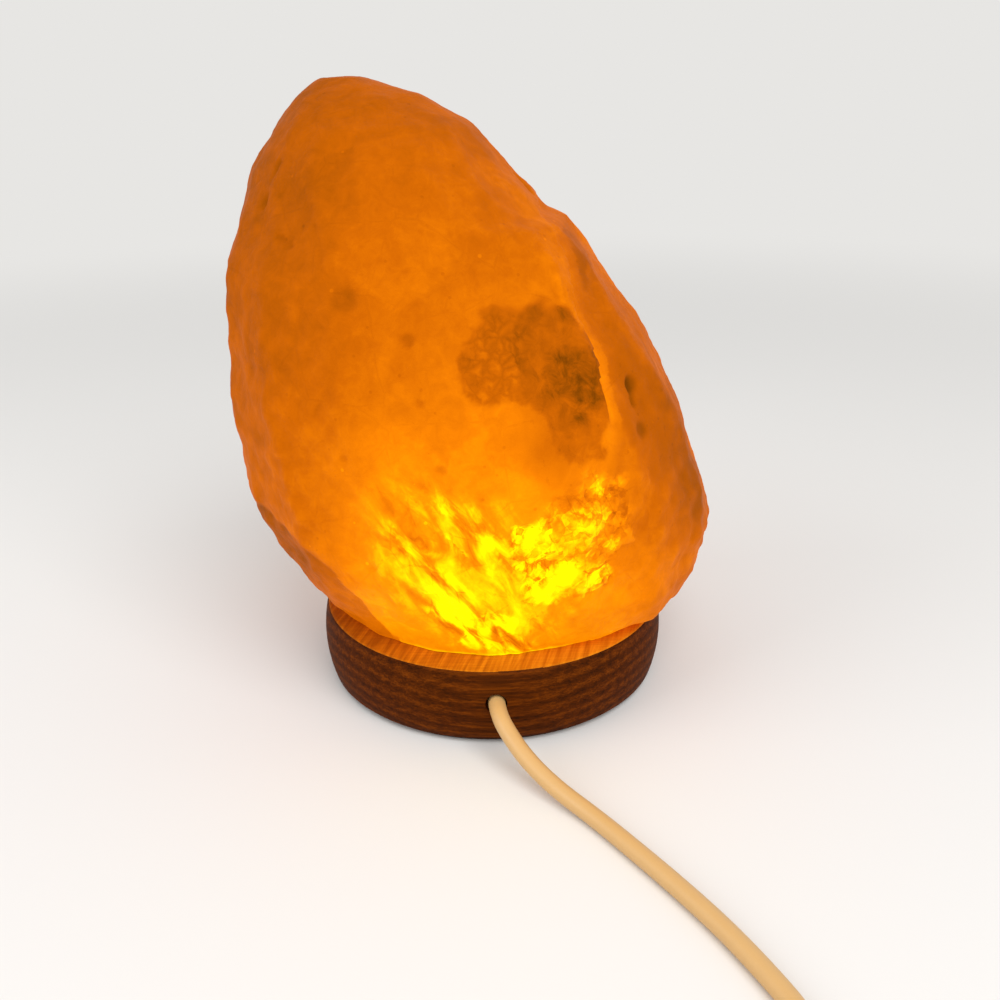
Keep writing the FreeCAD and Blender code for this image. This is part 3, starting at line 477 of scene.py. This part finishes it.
# ---- salt crystal -------------------------------------------------------------------------------

VOXEL = 1.1                 # mm, as are the places and sizes below
SMOOTH_ROUNDS = 8
HOLLOW_RADIUS = 23.0
HOLLOW_TOP = 114.0
HOLLOW_MARGIN = (1.2, 1.5)  # beside and over the hollow, where its wall stays as it is
FOOT = 26.0
FOOT_MARGIN = 0.6           # over the foot, where points move only sideways
FRONT, BACK = -12.0, 12.0   # in y: where the areas of the front end and those of the back start

# How light the block's surface is, by the salt between it and the lit part of the hollow.
WALL_LIGHT = ((30, 0.82), (35, 0.73), (40, 0.64), (45, 0.58), (50, 0.53), (60, 0.47), (80, 0.41),
              (97, 0.35), (110, 0.32))
LIT_TOP = 70.0
SIDE_SHADE = 0.09
FOOT_SHADE = 0.16
FLANK_SHADE = 0.14          # right of the ridge
BEVEL_SHADE = 0.18
RIM_LIGHT = 0.16            # on the lowest edge, over the base
STREAK_LIGHT = 0.10
CRUMPLE_LIGHT = 0.14
BLOCK_LIGHT = 0.2
FACET_LIGHT = 0.10
BACK_STREAK = 0.5           # how streaked the salt is beside the lamp's hollow, off the front

# Relief in mm.
SWELL, RIPPLE = 0.9, 0.35
HEWN_STEP = 0.5
STREAK_STEP, STREAK_ROUND = 0.5, 0.6
CRUMPLE_SINK, CRUMPLE_STEP, CRUMPLE_LEAN, CRUMPLE_CREVICE = 0.9, 0.6, 0.5, 0.4
GRAIN_STEP = 0.5
RIDGE_DROP, RIDGE_LIP = 1.7, 0.5
BEVEL_DEPTH = 0.5
FACET_RISE = 0.8

# The fibres of the salt lean down to the right on the front: this way in x and z.
FIBRE_X, FIBRE_Z = 0.53, -0.85
FIBRE_CELL = (19.0, 7.0, 14.0)      # along, across and into the block
PATCH_CELL = 6.5
GRAIN_CELL = 4.2

# Front areas in x and z: middle, half size along and across, lean in degrees, and strength.
AREAS_TOP = 104.0           # in z: no streaks, patches or blocks above it
AREA_EDGE = 1.12            # an area's outer edge in its half sizes, and how wide that edge is:
AREA_SOFT, BLOCK_SOFT, HAZE_HARD, HAZE_SOFT, BACK_SOFT = 0.47, 0.6, 0.22, 0.9, 0.7
STREAKS = (
    (-8.0, 56.0, 42.0, 23.0, -58.0, 0.45),
    (-21.0, 62.0, 17.0, 7.0, -62.0, 0.9),
    (-8.0, 73.0, 15.0, 7.0, -58.0, 0.9),
    (2.0, 61.0, 13.0, 6.0, -60.0, 0.8),
    (-10.0, 44.0, 19.0, 10.0, -50.0, 1.3),
    (2.0, 36.0, 12.0, 7.0, -58.0, 1.15),
)
PATCHES = (
    (24.0, 66.0, 23.0, 15.0, 62.0, 0.5),
    (18.0, 55.0, 9.0, 7.5, 20.0, 1.15),
    (10.5, 66.0, 9.0, 6.0, 70.0, 1.0),
    (28.0, 54.0, 5.5, 5.0, 0.0, 0.8),
    (30.0, 75.0, 12.0, 7.0, 60.0, 0.6),
)
# Blocks of clearer salt within the patches.
BLOCKS = (
    (18.5, 53.5, 7.5, 5.5, 15.0, 1.5),
    (10.5, 65.5, 5.0, 4.0, 75.0, 0.6),
    (27.5, 52.5, 3.5, 3.0, 0.0, 0.8),
)
# The corners of a bright facet, in x and z.
FACET = ((35.0, 62.0), (38.0, 71.5), (42.0, 62.5))
# Dull salt: with a hard edge, with a soft one, right of the ridge, and on the back.
HAZES = (
    (21.0, 113.0, 21.0, 13.0, -44.0, 0.8),
    (4.0, 118.0, 13.0, 11.5, -30.0, 0.58),
    (25.0, 101.0, 13.0, 8.0, -70.0, 0.7),
)
SOFT_HAZES = (
    (24.0, 110.0, 20.0, 15.0, -48.0, 1.38),
    (20.0, 101.0, 24.0, 16.0, -60.0, 0.42),
    (18.0, 90.0, 18.0, 9.0, -75.0, 0.25),
    (-4.0, 172.0, 10.0, 5.0, -60.0, 0.22),
    (1.0, 158.0, 9.0, 4.5, -60.0, 0.18),
    (-16.0, 176.0, 9.0, 3.0, -20.0, 0.16),
)
FLANK_HAZES = (
    (46.0, 96.0, 28.0, 9.0, -68.0, 0.38),
    (58.0, 80.0, 24.0, 9.0, -75.0, 0.3),
    (26.0, 140.0, 9.0, 4.0, -60.0, 0.3),
)
BACK_HAZES = (
    (-32.0, 122.0, 24.0, 11.0, 55.0, 0.5),
    (10.0, 96.0, 17.0, 9.0, -40.0, 0.4),
    (-58.0, 88.0, 13.0, 8.0, 70.0, 0.35),
)
# Where the dull salt is grainy.
GRAINY = (-3.0, 118.0, 14.0, 15.0, 0.0)

# Sideways moves of the block's flanks by height, outward where positive.
LEFT_MOVES = ((30, 1.0), (40, 1.3), (48, 0.8), (54, -0.4), (62, 1.5), (70, 0.8), (85, 0.4),
              (96, 0.6), (100, 1.1), (104, 1.3), (107, 0.7), (110, 0.0), (113, -0.4), (117, 0.2),
              (120, 0.3), (128, 0.6), (140, 1.4), (148, -0.2), (160, 0.3), (183, 0.7))
RIGHT_MOVES = ((28, 1.7), (32, 1.4), (36, 0.9), (40, 0.3), (44, -0.3), (48, -1.0), (53, -0.7),
               (62, -0.5), (75, -0.3), (110, 0.4), (125, 0.2), (133, 0.9), (140, 2.0), (145, 1.9),
               (149, 1.6), (151.5, -1.8), (155, -1.2), (162, 0.0), (170, 0.8), (177, 1.3),
               (184, 0.0))
# The block's middle and half width by height, and how far from the middle the moves start and are
# full, in half widths.
MIDDLES = ((26, -1), (60, -3), (100, -4), (150, -19), (186, -40))
HALF_WIDTHS = ((26, 46), (60, 66), (100, 62), (150, 40), (186, 12))
FLANK_REACH = (0.1, 0.85)

# The ridge's x by height, where its step comes in and goes out, and the step's width either side.
RIDGE = ((58, 27), (84, 30), (99, 33), (106, 31), (114, 30), (117, 29), (123, 27), (130, 24),
         (138, 22), (147, 18), (153, 17))
RIDGE_LOW, RIDGE_HIGH = (94, 104), (151, 158)
RIDGE_RIGHT, RIDGE_LEFT = 18.0, 6.0
HAZE_CUT = 98.0             # in z: above it the ridge cuts the dull salt off

# The height of the bevel's upper edge by x, low on the left.
BEVEL = ((-70, 68), (-57, 63.5), (-48, 57), (-39, 44.5), (-31, 28))
BEVEL_END = -29.0

# Pits: middle, radius, depth and change of light.
PITS = (
    ((-38, -46, 135), 3.6, 0.5, -0.11), ((-22, -52, 125), 1.9, 0.9, -0.14),
    ((-19, -57, 109), 1.4, 0.6, -0.08), ((-14, -60, 91), 1.5, 0.6, -0.08),
    ((-40, -52, 92), 1.4, 0.6, -0.08), ((41, -31, 106), 2.4, 0.8, -0.14),
    ((44, -37, 94), 2.6, 0.6, -0.12), ((-34, -53, 59), 1.2, 0.7, -0.07),
    ((30, 53, 96), 2.6, 0.8, -0.1), ((-35, 60, 120), 3.0, 0.8, -0.1),
    ((-12, 64, 74), 1.9, 0.8, -0.09), ((-52, 50, 84), 2.5, 0.8, -0.09),
    ((22, 58, 62), 2.0, 0.7, -0.08), ((-40, 52, 150), 2.2, 0.7, -0.09),
    ((-64, 44, 108), 2.3, 0.7, -0.08), ((48, 46, 70), 2.4, 0.8, -0.09),
)
# Creases: their points, half width, depth and change of light.
CREASES = (
    (((40, -31, 108), (41, -32, 105), (42, -34, 101)), 1.2, 0.6, -0.12),
    (((17, -31, 137), (19, -33, 134), (20, -34, 131)), 1.3, -0.5, 0.09),
    (((21, -32, 134), (23, -34, 130)), 1.2, -0.4, 0.08),
    (((-28, -54, 88), (-24, -56, 80), (-22, -57, 74)), 0.9, 0.5, -0.08),
    (((6, -57, 72), (9, -57, 62), (10, -56, 52)), 1.1, 0.8, -0.12),
    (((-58, -15, 168), (-62, -18, 162), (-63, -17, 156)), 1.3, 0.9, -0.07),
    (((-58, -28, 149), (-54, -32, 147)), 1.2, 0.8, -0.06),
    (((-47, -34, 153), (-46, -38, 148), (-44, -41, 142)), 0.9, 0.5, -0.05),
    (((10, 4, 162), (13, 4, 159), (15, 2, 157)), 1.2, 1.0, -0.12),
    (((-20, 63, 118), (-4, 64, 104), (6, 63, 88)), 1.5, 1.0, -0.07),
    (((-60, 49, 110), (-52, 52, 98), (-50, 51, 84)), 1.3, 0.8, -0.06),
    (((22, 49, 120), (17, 56, 110), (20, 57, 100)), 1.2, 0.7, -0.06),
    (((43, 32, 114), (48, 32, 105), (50, 35, 99), (57, 26, 91), (56, 31, 85)), 1.5, 0.8, -0.04),
)
CREASE_REACH = 46.0         # a crease lies within this of its first point


def build_crystal():
    """The block of salt, remeshed from its CAD solid and sculpted."""
    crystal = merged_copy("salt_crystal", "rock_salt")
    apply_modifier(crystal, "REMESH", mode="VOXEL", voxel_size=VOXEL * MM, use_smooth_shade=True)
    apply_modifier(crystal, "SMOOTH", factor=0.5, iterations=SMOOTH_ROUNDS)
    sculpt(crystal)
    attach(crystal, "crystal")
    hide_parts("salt_crystal")
    crystal.data.materials.clear()
    crystal.data.materials.append(salt_material())


def distance_to_line(point, start, end):
    along = end - start
    t = min(max((point - start).dot(along) / along.length_squared, 0.0), 1.0)
    return (point - start - along * t).length


def area(p, middle_x, middle_z, half_along, half_across, lean, soft=AREA_SOFT):
    """1 inside a leaning ellipse seen from the front, 0 outside it."""
    c, s = math.cos(math.radians(lean)), math.sin(math.radians(lean))
    dx, dz = p.x - middle_x, p.z - middle_z
    reach = math.hypot((dx * c + dz * s) / half_along, (dz * c - dx * s) / half_across)
    return 1 - smoothstep(AREA_EDGE - soft, AREA_EDGE, reach)


def strongest(p, rows, soft=AREA_SOFT):
    """The greatest strength that any of the areas has at a point."""
    return max(area(p, *row[:5], soft) * row[5] for row in rows)


def inside_triangle(x, z, corners):
    turns = [(bx - ax) * (z - az) - (bz - az) * (x - ax)
             for (ax, az), (bx, bz) in zip(corners, corners[1:] + corners[:1])]
    return min(turns) > 0 or max(turns) < 0


def sway(p, rate, shift=(0.0, 0.0, 0.0)):
    """Smooth noise with so many waves to a mm."""
    return noise.noise(p * rate + Vector(shift))


def cell(place, seed):
    """The cell of a broken surface that a place is in: its tone from -1 to 1, the way to its edge
    and its middle."""
    distances, points = noise.voronoi(place)
    tone = 2.4 * sway(points[0], 4.7, (seed, 2 * seed, 0.5))
    return max(-1.0, min(1.0, tone)), distances[1] - distances[0], points[0]


def fibre_place(p):
    """A point counted in cells along, across and into the wavering fibres."""
    drift = 2.4 * sway(p, 0.085) + 0.9 * sway(p, 0.3)
    return Vector((
        (FIBRE_X * p.x + FIBRE_Z * p.z) / FIBRE_CELL[0],
        (FIBRE_X * p.z - FIBRE_Z * p.x + drift) / FIBRE_CELL[1],
        p.y / FIBRE_CELL[2],
    ))


def scattered(p):
    """A point shifted in x and z, which makes the edges of areas ragged."""
    drift = Vector((sway(p, 0.11), 0.0, sway(p, 0.11, (9, 2, 5))))
    jitter = Vector((sway(p, 0.4), 0.0, sway(p, 0.37, drift)))
    return p + drift * 4.5 + jitter * 1.5


def hewn(p):
    """Swells, hewn faces and small bumps: their move and light."""
    move = SWELL * sway(p, 0.045) + RIPPLE * sway(p, 0.12, (7, 3, 1))
    face, edge, _ = cell(p * 0.042 + Vector((0.3, 0.7, 0.1)), 5.0)
    move += HEWN_STEP * face * smoothstep(0.0, 0.35, edge)
    rough_sides = 0.4 * smoothstep(30, 55, abs(p.x)) * (1 - smoothstep(110, 150, p.z))
    small = (0.16 + rough_sides) * sway(p, 0.2) + 0.15 * sway(p, 0.5)
    return move + small, 0.10 * small + 0.014 * (1 - smoothstep(0.0, 0.12, edge)) + 0.02 * face


def broken(p, loose, wall):
    """The streaked and the broken salt: move and light, and how much of either there is."""
    move = light = streak = crumple = 0.0
    if p.y < FRONT and p.z < AREAS_TOP:
        streak = strongest(loose, STREAKS)
        crumple = strongest(loose, PATCHES)
        block = strongest(loose, BLOCKS, BLOCK_SOFT)
        light += BLOCK_LIGHT * block
        streak *= 1 - min(crumple * 1.6, 1.0)
        crumple *= 1 - 0.65 * min(block, 1.0)
    elif p.y > FRONT:
        streak = BACK_STREAK * smoothstep(42, 33, wall) * smoothstep(100, 80, p.z)
    if streak > 0:
        tone, edge, _ = cell(fibre_place(p), 1.0)
        light += streak * (STREAK_LIGHT + STREAK_LIGHT * tone)
        move += streak * (STREAK_STEP * tone + STREAK_ROUND * (smoothstep(0.0, 0.5, edge) - 0.5))
    if crumple > 0:
        warp = 1.3 * sway(p, 0.25)
        tone, edge, centre = cell((p + Vector((warp, 0, warp))) / PATCH_CELL, 3.0)
        lean = Vector((sway(centre, 3.1), 0, sway(centre, 2.3, (4, 4, 4))))
        light += crumple * (CRUMPLE_LIGHT + CRUMPLE_LIGHT * tone)
        move += crumple * (-CRUMPLE_SINK + CRUMPLE_STEP * tone
                           + CRUMPLE_LEAN * (p - centre * PATCH_CELL).dot(lean)
                           - CRUMPLE_CREVICE * (1 - smoothstep(0.0, 0.16, edge)))
    if p.y < FRONT and inside_triangle(p.x, p.z, FACET):
        light += FACET_LIGHT
        move += FACET_RISE
    return move, light, streak, crumple


def ridged(p, loose):
    """The ridge, the flank right of it and the dull salt: move, light, haze and grains."""
    move = haze = 0.0
    side = p.x - step_along(RIDGE, p.z)
    ends = smoothstep(*RIDGE_LOW, p.z) * (1 - smoothstep(*RIDGE_HIGH, p.z))
    ends *= smoothstep(12, 4, p.y)
    if 0 <= side < RIDGE_RIGHT:
        move -= RIDGE_DROP * ends * (1 - side / RIDGE_RIGHT)
    elif -RIDGE_LEFT < side < 0:
        move += RIDGE_LIP * ends * (1 + side / RIDGE_LEFT)
    light = -FLANK_SHADE * smoothstep(0, 6, side) * smoothstep(44, 70, p.z)
    light *= smoothstep(12, -8, p.y)
    if side < 1.4 or p.z < HAZE_CUT:
        haze = max(strongest(loose, HAZES, HAZE_HARD), strongest(loose, SOFT_HAZES, HAZE_SOFT))
        if p.z >= HAZE_CUT:
            haze *= smoothstep(1.4, -0.2, side)
    if side > 4:
        haze = max(haze, strongest(loose, FLANK_HAZES) * smoothstep(12, -4, p.y))
    grains = haze * area(p, *GRAINY)
    if grains > 0:
        move += GRAIN_STEP * grains * cell(p / GRAIN_CELL, 9.0)[0]
    return move, light, haze, grains


def knocked(p):
    """Pits and creases: their move and light."""
    move = light = 0.0
    for middle, radius, depth, change in PITS:
        reach = (p - Vector(middle)).length / radius
        if reach < 1.5:
            dip = 1 - smoothstep(0.5, 1.4, reach)
            move -= depth * dip
            light += change * dip
    for points, width, depth, change in CREASES:
        if (p - Vector(points[0])).length < CREASE_REACH:
            reach = min(distance_to_line(p, Vector(start), Vector(end))
                        for start, end in zip(points, points[1:]))
            dip = 1 - smoothstep(0.2, 1.3, reach / width)
            move -= depth * dip
            light += change * dip
    return move, light


def sculpt_point(p):
    """A point's move along its normal, and its marks in the order of MARKS."""
    wall = Vector((p.x, p.y, max(p.z - LIT_TOP, 0.0))).length - HOLLOW_RADIUS
    light = step_along(WALL_LIGHT, wall) - SIDE_SHADE * smoothstep(25, 60, abs(p.x))
    light -= FOOT_SHADE * smoothstep(50, 27, p.z)
    light += RIM_LIGHT * smoothstep(1.8, 0.5, p.z - FOOT) * smoothstep(40, 10, abs(p.x))
    loose = scattered(p)
    *broken_parts, streak, crumple = broken(p, loose, wall)
    parts = [hewn(p), broken_parts, knocked(p)]
    if p.y < BACK:
        *ridge_parts, haze, grains = ridged(p, loose)
        parts.append(ridge_parts)
    else:
        haze = strongest(loose, BACK_HAZES, BACK_SOFT) * smoothstep(BACK, 30, p.y)
        grains = 0.0
    if p.x < BEVEL_END:
        below = smoothstep(1.5, -1.5, p.z - step_along(BEVEL, p.x)) * smoothstep(40, 2, p.y)
        parts.append((-BEVEL_DEPTH * below, -BEVEL_SHADE * below))
    moves, lights = zip(*parts)
    return sum(moves), (light + sum(lights), streak, crumple, haze, grains)


def sculpt(crystal):
    """Moves the block's points, brings its flanks to their outline and writes the marks."""
    mesh = crystal.data
    count = len(mesh.vertices)
    flat, normals = [0.0] * (3 * count), [0.0] * (3 * count)
    mesh.vertices.foreach_get("co", flat)
    mesh.vertex_normals.foreach_get("vector", normals)
    marks = []
    for k in range(count):
        p = Vector(flat[3 * k:3 * k + 3]) / MM
        n = Vector(normals[3 * k:3 * k + 3])
        move, mark = sculpt_point(p)
        marks.append(mark)
        beside, over = math.hypot(p.x, p.y) - HOLLOW_RADIUS, p.z - HOLLOW_TOP
        if beside > HOLLOW_MARGIN[0] or over > HOLLOW_MARGIN[1]:
            if p.z < FOOT + FOOT_MARGIN:
                n.z = 0.0
            p += n * move
            aside = (p.x - step_along(MIDDLES, p.z)) / step_along(HALF_WIDTHS, p.z)
            if aside < 0:
                p.x -= smoothstep(*FLANK_REACH, -aside) * step_along(LEFT_MOVES, p.z)
            else:
                p.x += smoothstep(*FLANK_REACH, aside) * step_along(RIGHT_MOVES, p.z)
        p.z = max(p.z, FOOT)
        flat[3 * k:3 * k + 3] = p * MM
    mesh.vertices.foreach_set("co", flat)
    for name, values in zip(MARKS, zip(*marks)):
        mesh.attributes.new(name, "FLOAT", "POINT").data.foreach_set("value", values)
    mesh.update()


# ---- cord ---------------------------------------------------------------------------------------

CORD_WIDTH = 5.2            # mm, as are the routes
CORD_ROUNDNESS = 5
CORD_STEPS = 8              # to each point of a route
LEAD_ROUTE = (
    (0.0, -51.0, 15.5), (0.0, -61.0, 15.5), (4.0, -69.0, 11.4), (9.6, -76.6, 7.4),
    (16.8, -84.2, 4.2), (25.6, -93.6, 2.6), (34.8, -107.2, 2.6), (44.2, -121.8, 2.6),
    (52.2, -135.4, 2.6), (59.0, -149.6, 2.6), (63.4, -160.6, 2.6), (63.2, -173.5, 3.0),
    (58.2, -185.7, 4.4), (48.9, -195.0, 6.4), (36.8, -200.0, 8.3), (24.0, -200.0, 8.3),
)
LINK_ROUTE = (
    (-38.0, -200.0, 8.3), (-51.0, -200.0, 8.3), (-62.7, -204.9, 6.8), (-71.7, -213.9, 4.9),
    (-76.6, -225.6, 3.3), (-76.4, -239.6, 2.6), (-76.4, -252.2, 2.6),
)
COIL_TURNS = 7.25
COIL_MIDDLE = 62.0
COIL_PITCH = 5.7
COIL_RISE = 5.7
COIL_STEPS = 20             # points to a turn
TAIL_LENGTH = 34.0
TAIL_CLIMB = (0.33, 0.67)   # the part of the tail that climbs to the plug
PLUG_HEIGHT = 6.9


def coil_points():
    """Points of the coil: loops that spiral in on the table and out again on top of those."""
    smallest = COIL_MIDDLE / 2 - COIL_PITCH * COIL_TURNS / 4
    low, high = CORD_WIDTH / 2, CORD_WIDTH / 2 + COIL_RISE
    centre_x = LINK_ROUTE[-1][0] + smallest + COIL_PITCH * COIL_TURNS / 2
    centre_y = LINK_ROUTE[-1][1] - CORD_WIDTH
    # A smooth line runs inside its points by this much on a circle.
    outward = 1 / (0.75 + 0.25 * math.cos(2 * math.pi / COIL_STEPS))
    points = []
    for k in range(round(COIL_TURNS * COIL_STEPS) + 1):
        turn = k / COIL_STEPS - COIL_TURNS / 2
        radius = (smallest + COIL_PITCH * abs(turn)) * outward
        angle = 2 * math.pi * k / COIL_STEPS + math.pi
        climb = min(max(turn / 0.25, -1.0), 1.0)
        height = (low + high) / 2 + (high - low) / 2 * math.sin(math.pi / 2 * climb)
        points.append((centre_x + radius * math.cos(angle),
                       centre_y + radius * math.sin(angle), height))
    return points


def lay_cord(name, points, material):
    """A round cord on a NURBS line through its route's points."""
    curve = bpy.data.curves.new(name, "CURVE")
    curve.dimensions = "3D"
    curve.bevel_depth = CORD_WIDTH / 2 * MM
    curve.bevel_resolution = CORD_ROUNDNESS
    curve.resolution_u = CORD_STEPS
    curve.use_fill_caps = True
    spline = curve.splines.new("NURBS")
    spline.points.add(len(points) - 1)
    for point, place in zip(spline.points, points):
        point.co = (*(v * MM for v in place), 1.0)
    spline.order_u = 3
    spline.use_endpoint_u = True
    cord = bpy.data.objects.new(name, curve)
    bpy.context.scene.collection.objects.link(cord)
    curve.materials.append(material)
    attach(cord, "base")
    return cord


def lay_cords(sheath):
    """The cord as two smooth lines: the lead to the switch, and the rest to the plug."""
    lead = lay_cord("cord_from_base", LEAD_ROUTE, sheath)
    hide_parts("cord_lead")
    coil = coil_points()
    end = coil[-1]
    start_x = end[0] + CORD_WIDTH
    tail = [
        (start_x, end[1], end[2]),
        (start_x + TAIL_CLIMB[0] * TAIL_LENGTH, end[1], end[2]),
        (start_x + TAIL_CLIMB[1] * TAIL_LENGTH, end[1], PLUG_HEIGHT),
        (start_x + TAIL_LENGTH, end[1], PLUG_HEIGHT),
    ]
    rest = lay_cord("cord_to_plug", [*LINK_ROUTE, *coil, *tail], sheath)
    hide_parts("cord_link", "cord_coil", "cord_tail")


# ---- CAD nodes ----------------------------------------------------------------------------------

def dress(material, *names):
    """Gives CAD nodes a material, and smooth shading between their sharp edges."""
    for name in names:
        node = frame["nodes"][name]
        node.data.materials.clear()
        node.data.materials.append(material)
        node.data.polygons.foreach_set("use_smooth", [True] * len(node.data.polygons))
        weld = node.modifiers.new("weld", "WELD")
        weld.merge_threshold = MERGE_REACH
        split = node.modifiers.new("edges", "EDGE_SPLIT")
        split.split_angle = math.radians(SHARP_EDGE)


def dress_nodes(sheath):
    """The finishes of all pieces but the crystal and the cord's smooth lines."""
    plastic = finish_material("moulded_plastic", (226, 214, 190), 0.36, tone=0.05, relief=0.06)
    rubber = finish_material("strain_relief", (220, 204, 176), 0.5, tone=0.05, relief=0.08)
    zinc = finish_material("zinc_plate", (186, 184, 176), 0.32, tone=0.18, grain=0.8, metallic=1.0)
    brass = finish_material("rolled_brass", (202, 158, 84), 0.28, tone=0.16, grain=0.8,
                            metallic=1.0)
    nickel = finish_material("nickelled_cap", (196, 190, 178), 0.26, tone=0.14, metallic=1.0)
    ceramic = finish_material("ceramic", (232, 226, 212), 0.62, tone=0.06, grain=1.6, relief=0.14)
    black = finish_material("black_sleeve", (22, 22, 23), 0.4, tone=0.2)
    button = finish_material("black_glass", (12, 12, 14), 0.12, tone=0.1)
    felt = finish_material("felt_pad", (52, 40, 34), 0.95, tone=0.5, grain=2.2, relief=0.5)
    core = finish_material("core_sleeve", (120, 74, 44), 0.45)
    lit = finish_material("hot_filament", (255, 190, 110), 0.5, tone=0.3, grain=3.0,
                          Emission_Color=linear(255, 214, 140), Emission_Strength=4.0)
    dress(wood_material(), "wooden_base")
    dress(felt, "base_pad")
    dress(zinc, "mounting_plate", "plate_screws", "nipple", "nipple_nut", "terminal_screws",
          "switch_screws", "support_wire", "lead_wires")
    dress(plastic, "holder_cap", "cap_lock_screw", "holder_sleeve", "switch_base", "switch_cover",
          "rocker", "plug_body")
    dress(ceramic, "terminal_block")
    dress(brass, "screw_shell", "centre_contact", "rocker_contact", "fixed_contacts")
    dress(nickel, "bulb_cap", "bulb_tip", "plug_pins")
    dress(button, "bulb_insulator")
    dress(glass_material("bulb_glass", (255, 252, 244)), "bulb_glass", "bulb_stem")
    dress(lit, "filament")
    dress(black, "pin_sleeves")
    dress(rubber, "plug_relief")
    dress(core, "holder_cores")
    dress(sheath, "cord_inner", "sheath_ends")


# ---- stage --------------------------------------------------------------------------------------

def seen_by_eye(nodes):
    """1 for camera, glossy and transmission rays."""
    path = nodes.add("ShaderNodeLightPath")
    either = nodes.math("MAXIMUM", path.outputs["Is Camera Ray"], path.outputs["Is Glossy Ray"])
    return nodes.math("MAXIMUM", either, path.outputs["Is Transmission Ray"])


def build_stage():
    """A pale floor that fades into the background, a plain sky and two soft lamps."""
    bpy.ops.object.select_all(action="DESELECT")
    bpy.ops.mesh.primitive_circle_add(vertices=STAGE_SIDES, radius=STAGE_RADIUS, fill_type="NGON")
    floor = bpy.context.object
    floor.name = "floor"
    material, nodes, shader = new_material("pale_floor")
    shader.inputs["Base Color"].default_value = (*STAGE_COLOUR, 1.0)
    shader.inputs["Roughness"].default_value = 0.9
    shader.inputs["Specular IOR Level"].default_value = 0.1
    away = nodes.add("ShaderNodeVectorMath", operation="LENGTH")
    nodes.feed(nodes.add("ShaderNodeTexCoord").outputs["Object"], away.inputs[0])
    far = nodes.add("ShaderNodeMapRange", interpolation_type="SMOOTHSTEP")
    nodes.feed(away.outputs["Value"], far.inputs["Value"])
    far.inputs["From Min"].default_value, far.inputs["From Max"].default_value = STAGE_FADE
    plain = nodes.add("ShaderNodeEmission")
    plain.inputs["Color"].default_value = (*STAGE_COLOUR, 1.0)
    blend = nodes.add("ShaderNodeMixShader")
    faded = nodes.math("MULTIPLY", far.outputs["Result"], seen_by_eye(nodes))
    nodes.feed(faded, blend.inputs["Fac"])
    nodes.feed(shader.outputs["BSDF"], blend.inputs[1])
    nodes.feed(plain.outputs["Emission"], blend.inputs[2])
    nodes.feed(blend.outputs["Shader"], nodes.tree.nodes["Material Output"].inputs["Surface"])
    floor.data.materials.append(material)

    world = bpy.data.worlds.new("studio")
    world.use_nodes = True
    bpy.context.scene.world = world
    nodes = Nodes(world.node_tree)
    ambient = world.node_tree.nodes["Background"]
    ambient.inputs["Color"].default_value = (1.0, 1.0, 1.0, 1.0)
    ambient.inputs["Strength"].default_value = SKY_LIGHT
    backdrop = nodes.add("ShaderNodeBackground")
    backdrop.inputs["Color"].default_value = (*STAGE_COLOUR, 1.0)
    either = nodes.add("ShaderNodeMixShader")
    nodes.feed(seen_by_eye(nodes), either.inputs["Fac"])
    nodes.feed(ambient.outputs["Background"], either.inputs[1])
    nodes.feed(backdrop.outputs["Background"], either.inputs[2])
    nodes.feed(either.outputs["Shader"], world.node_tree.nodes["World Output"].inputs["Surface"])

    for name, place, power, size in (("key", KEY_PLACE, KEY_POWER, KEY_SIZE),
                                     ("fill", FILL_PLACE, FILL_POWER, FILL_SIZE)):
        data = bpy.data.lights.new(name, "AREA")
        data.energy = power
        data.size = size
        lamp = bpy.data.objects.new(name, data)
        bpy.context.scene.collection.objects.link(lamp)
        lamp.location = place
        aim = Vector(LAMP_AIM) - lamp.location
        lamp.rotation_euler = aim.to_track_quat("-Z", "Y").to_euler()


place_camera()
build_stage()
cord_sheath = finish_material("cord_sheath", (208, 166, 106), 0.4, tone=0.06, relief=0.05)
lay_cords(cord_sheath)
dress_nodes(cord_sheath)
build_crystal()

bpy.context.scene.view_settings.view_transform = "Standard"
bpy.context.view_layer.update()
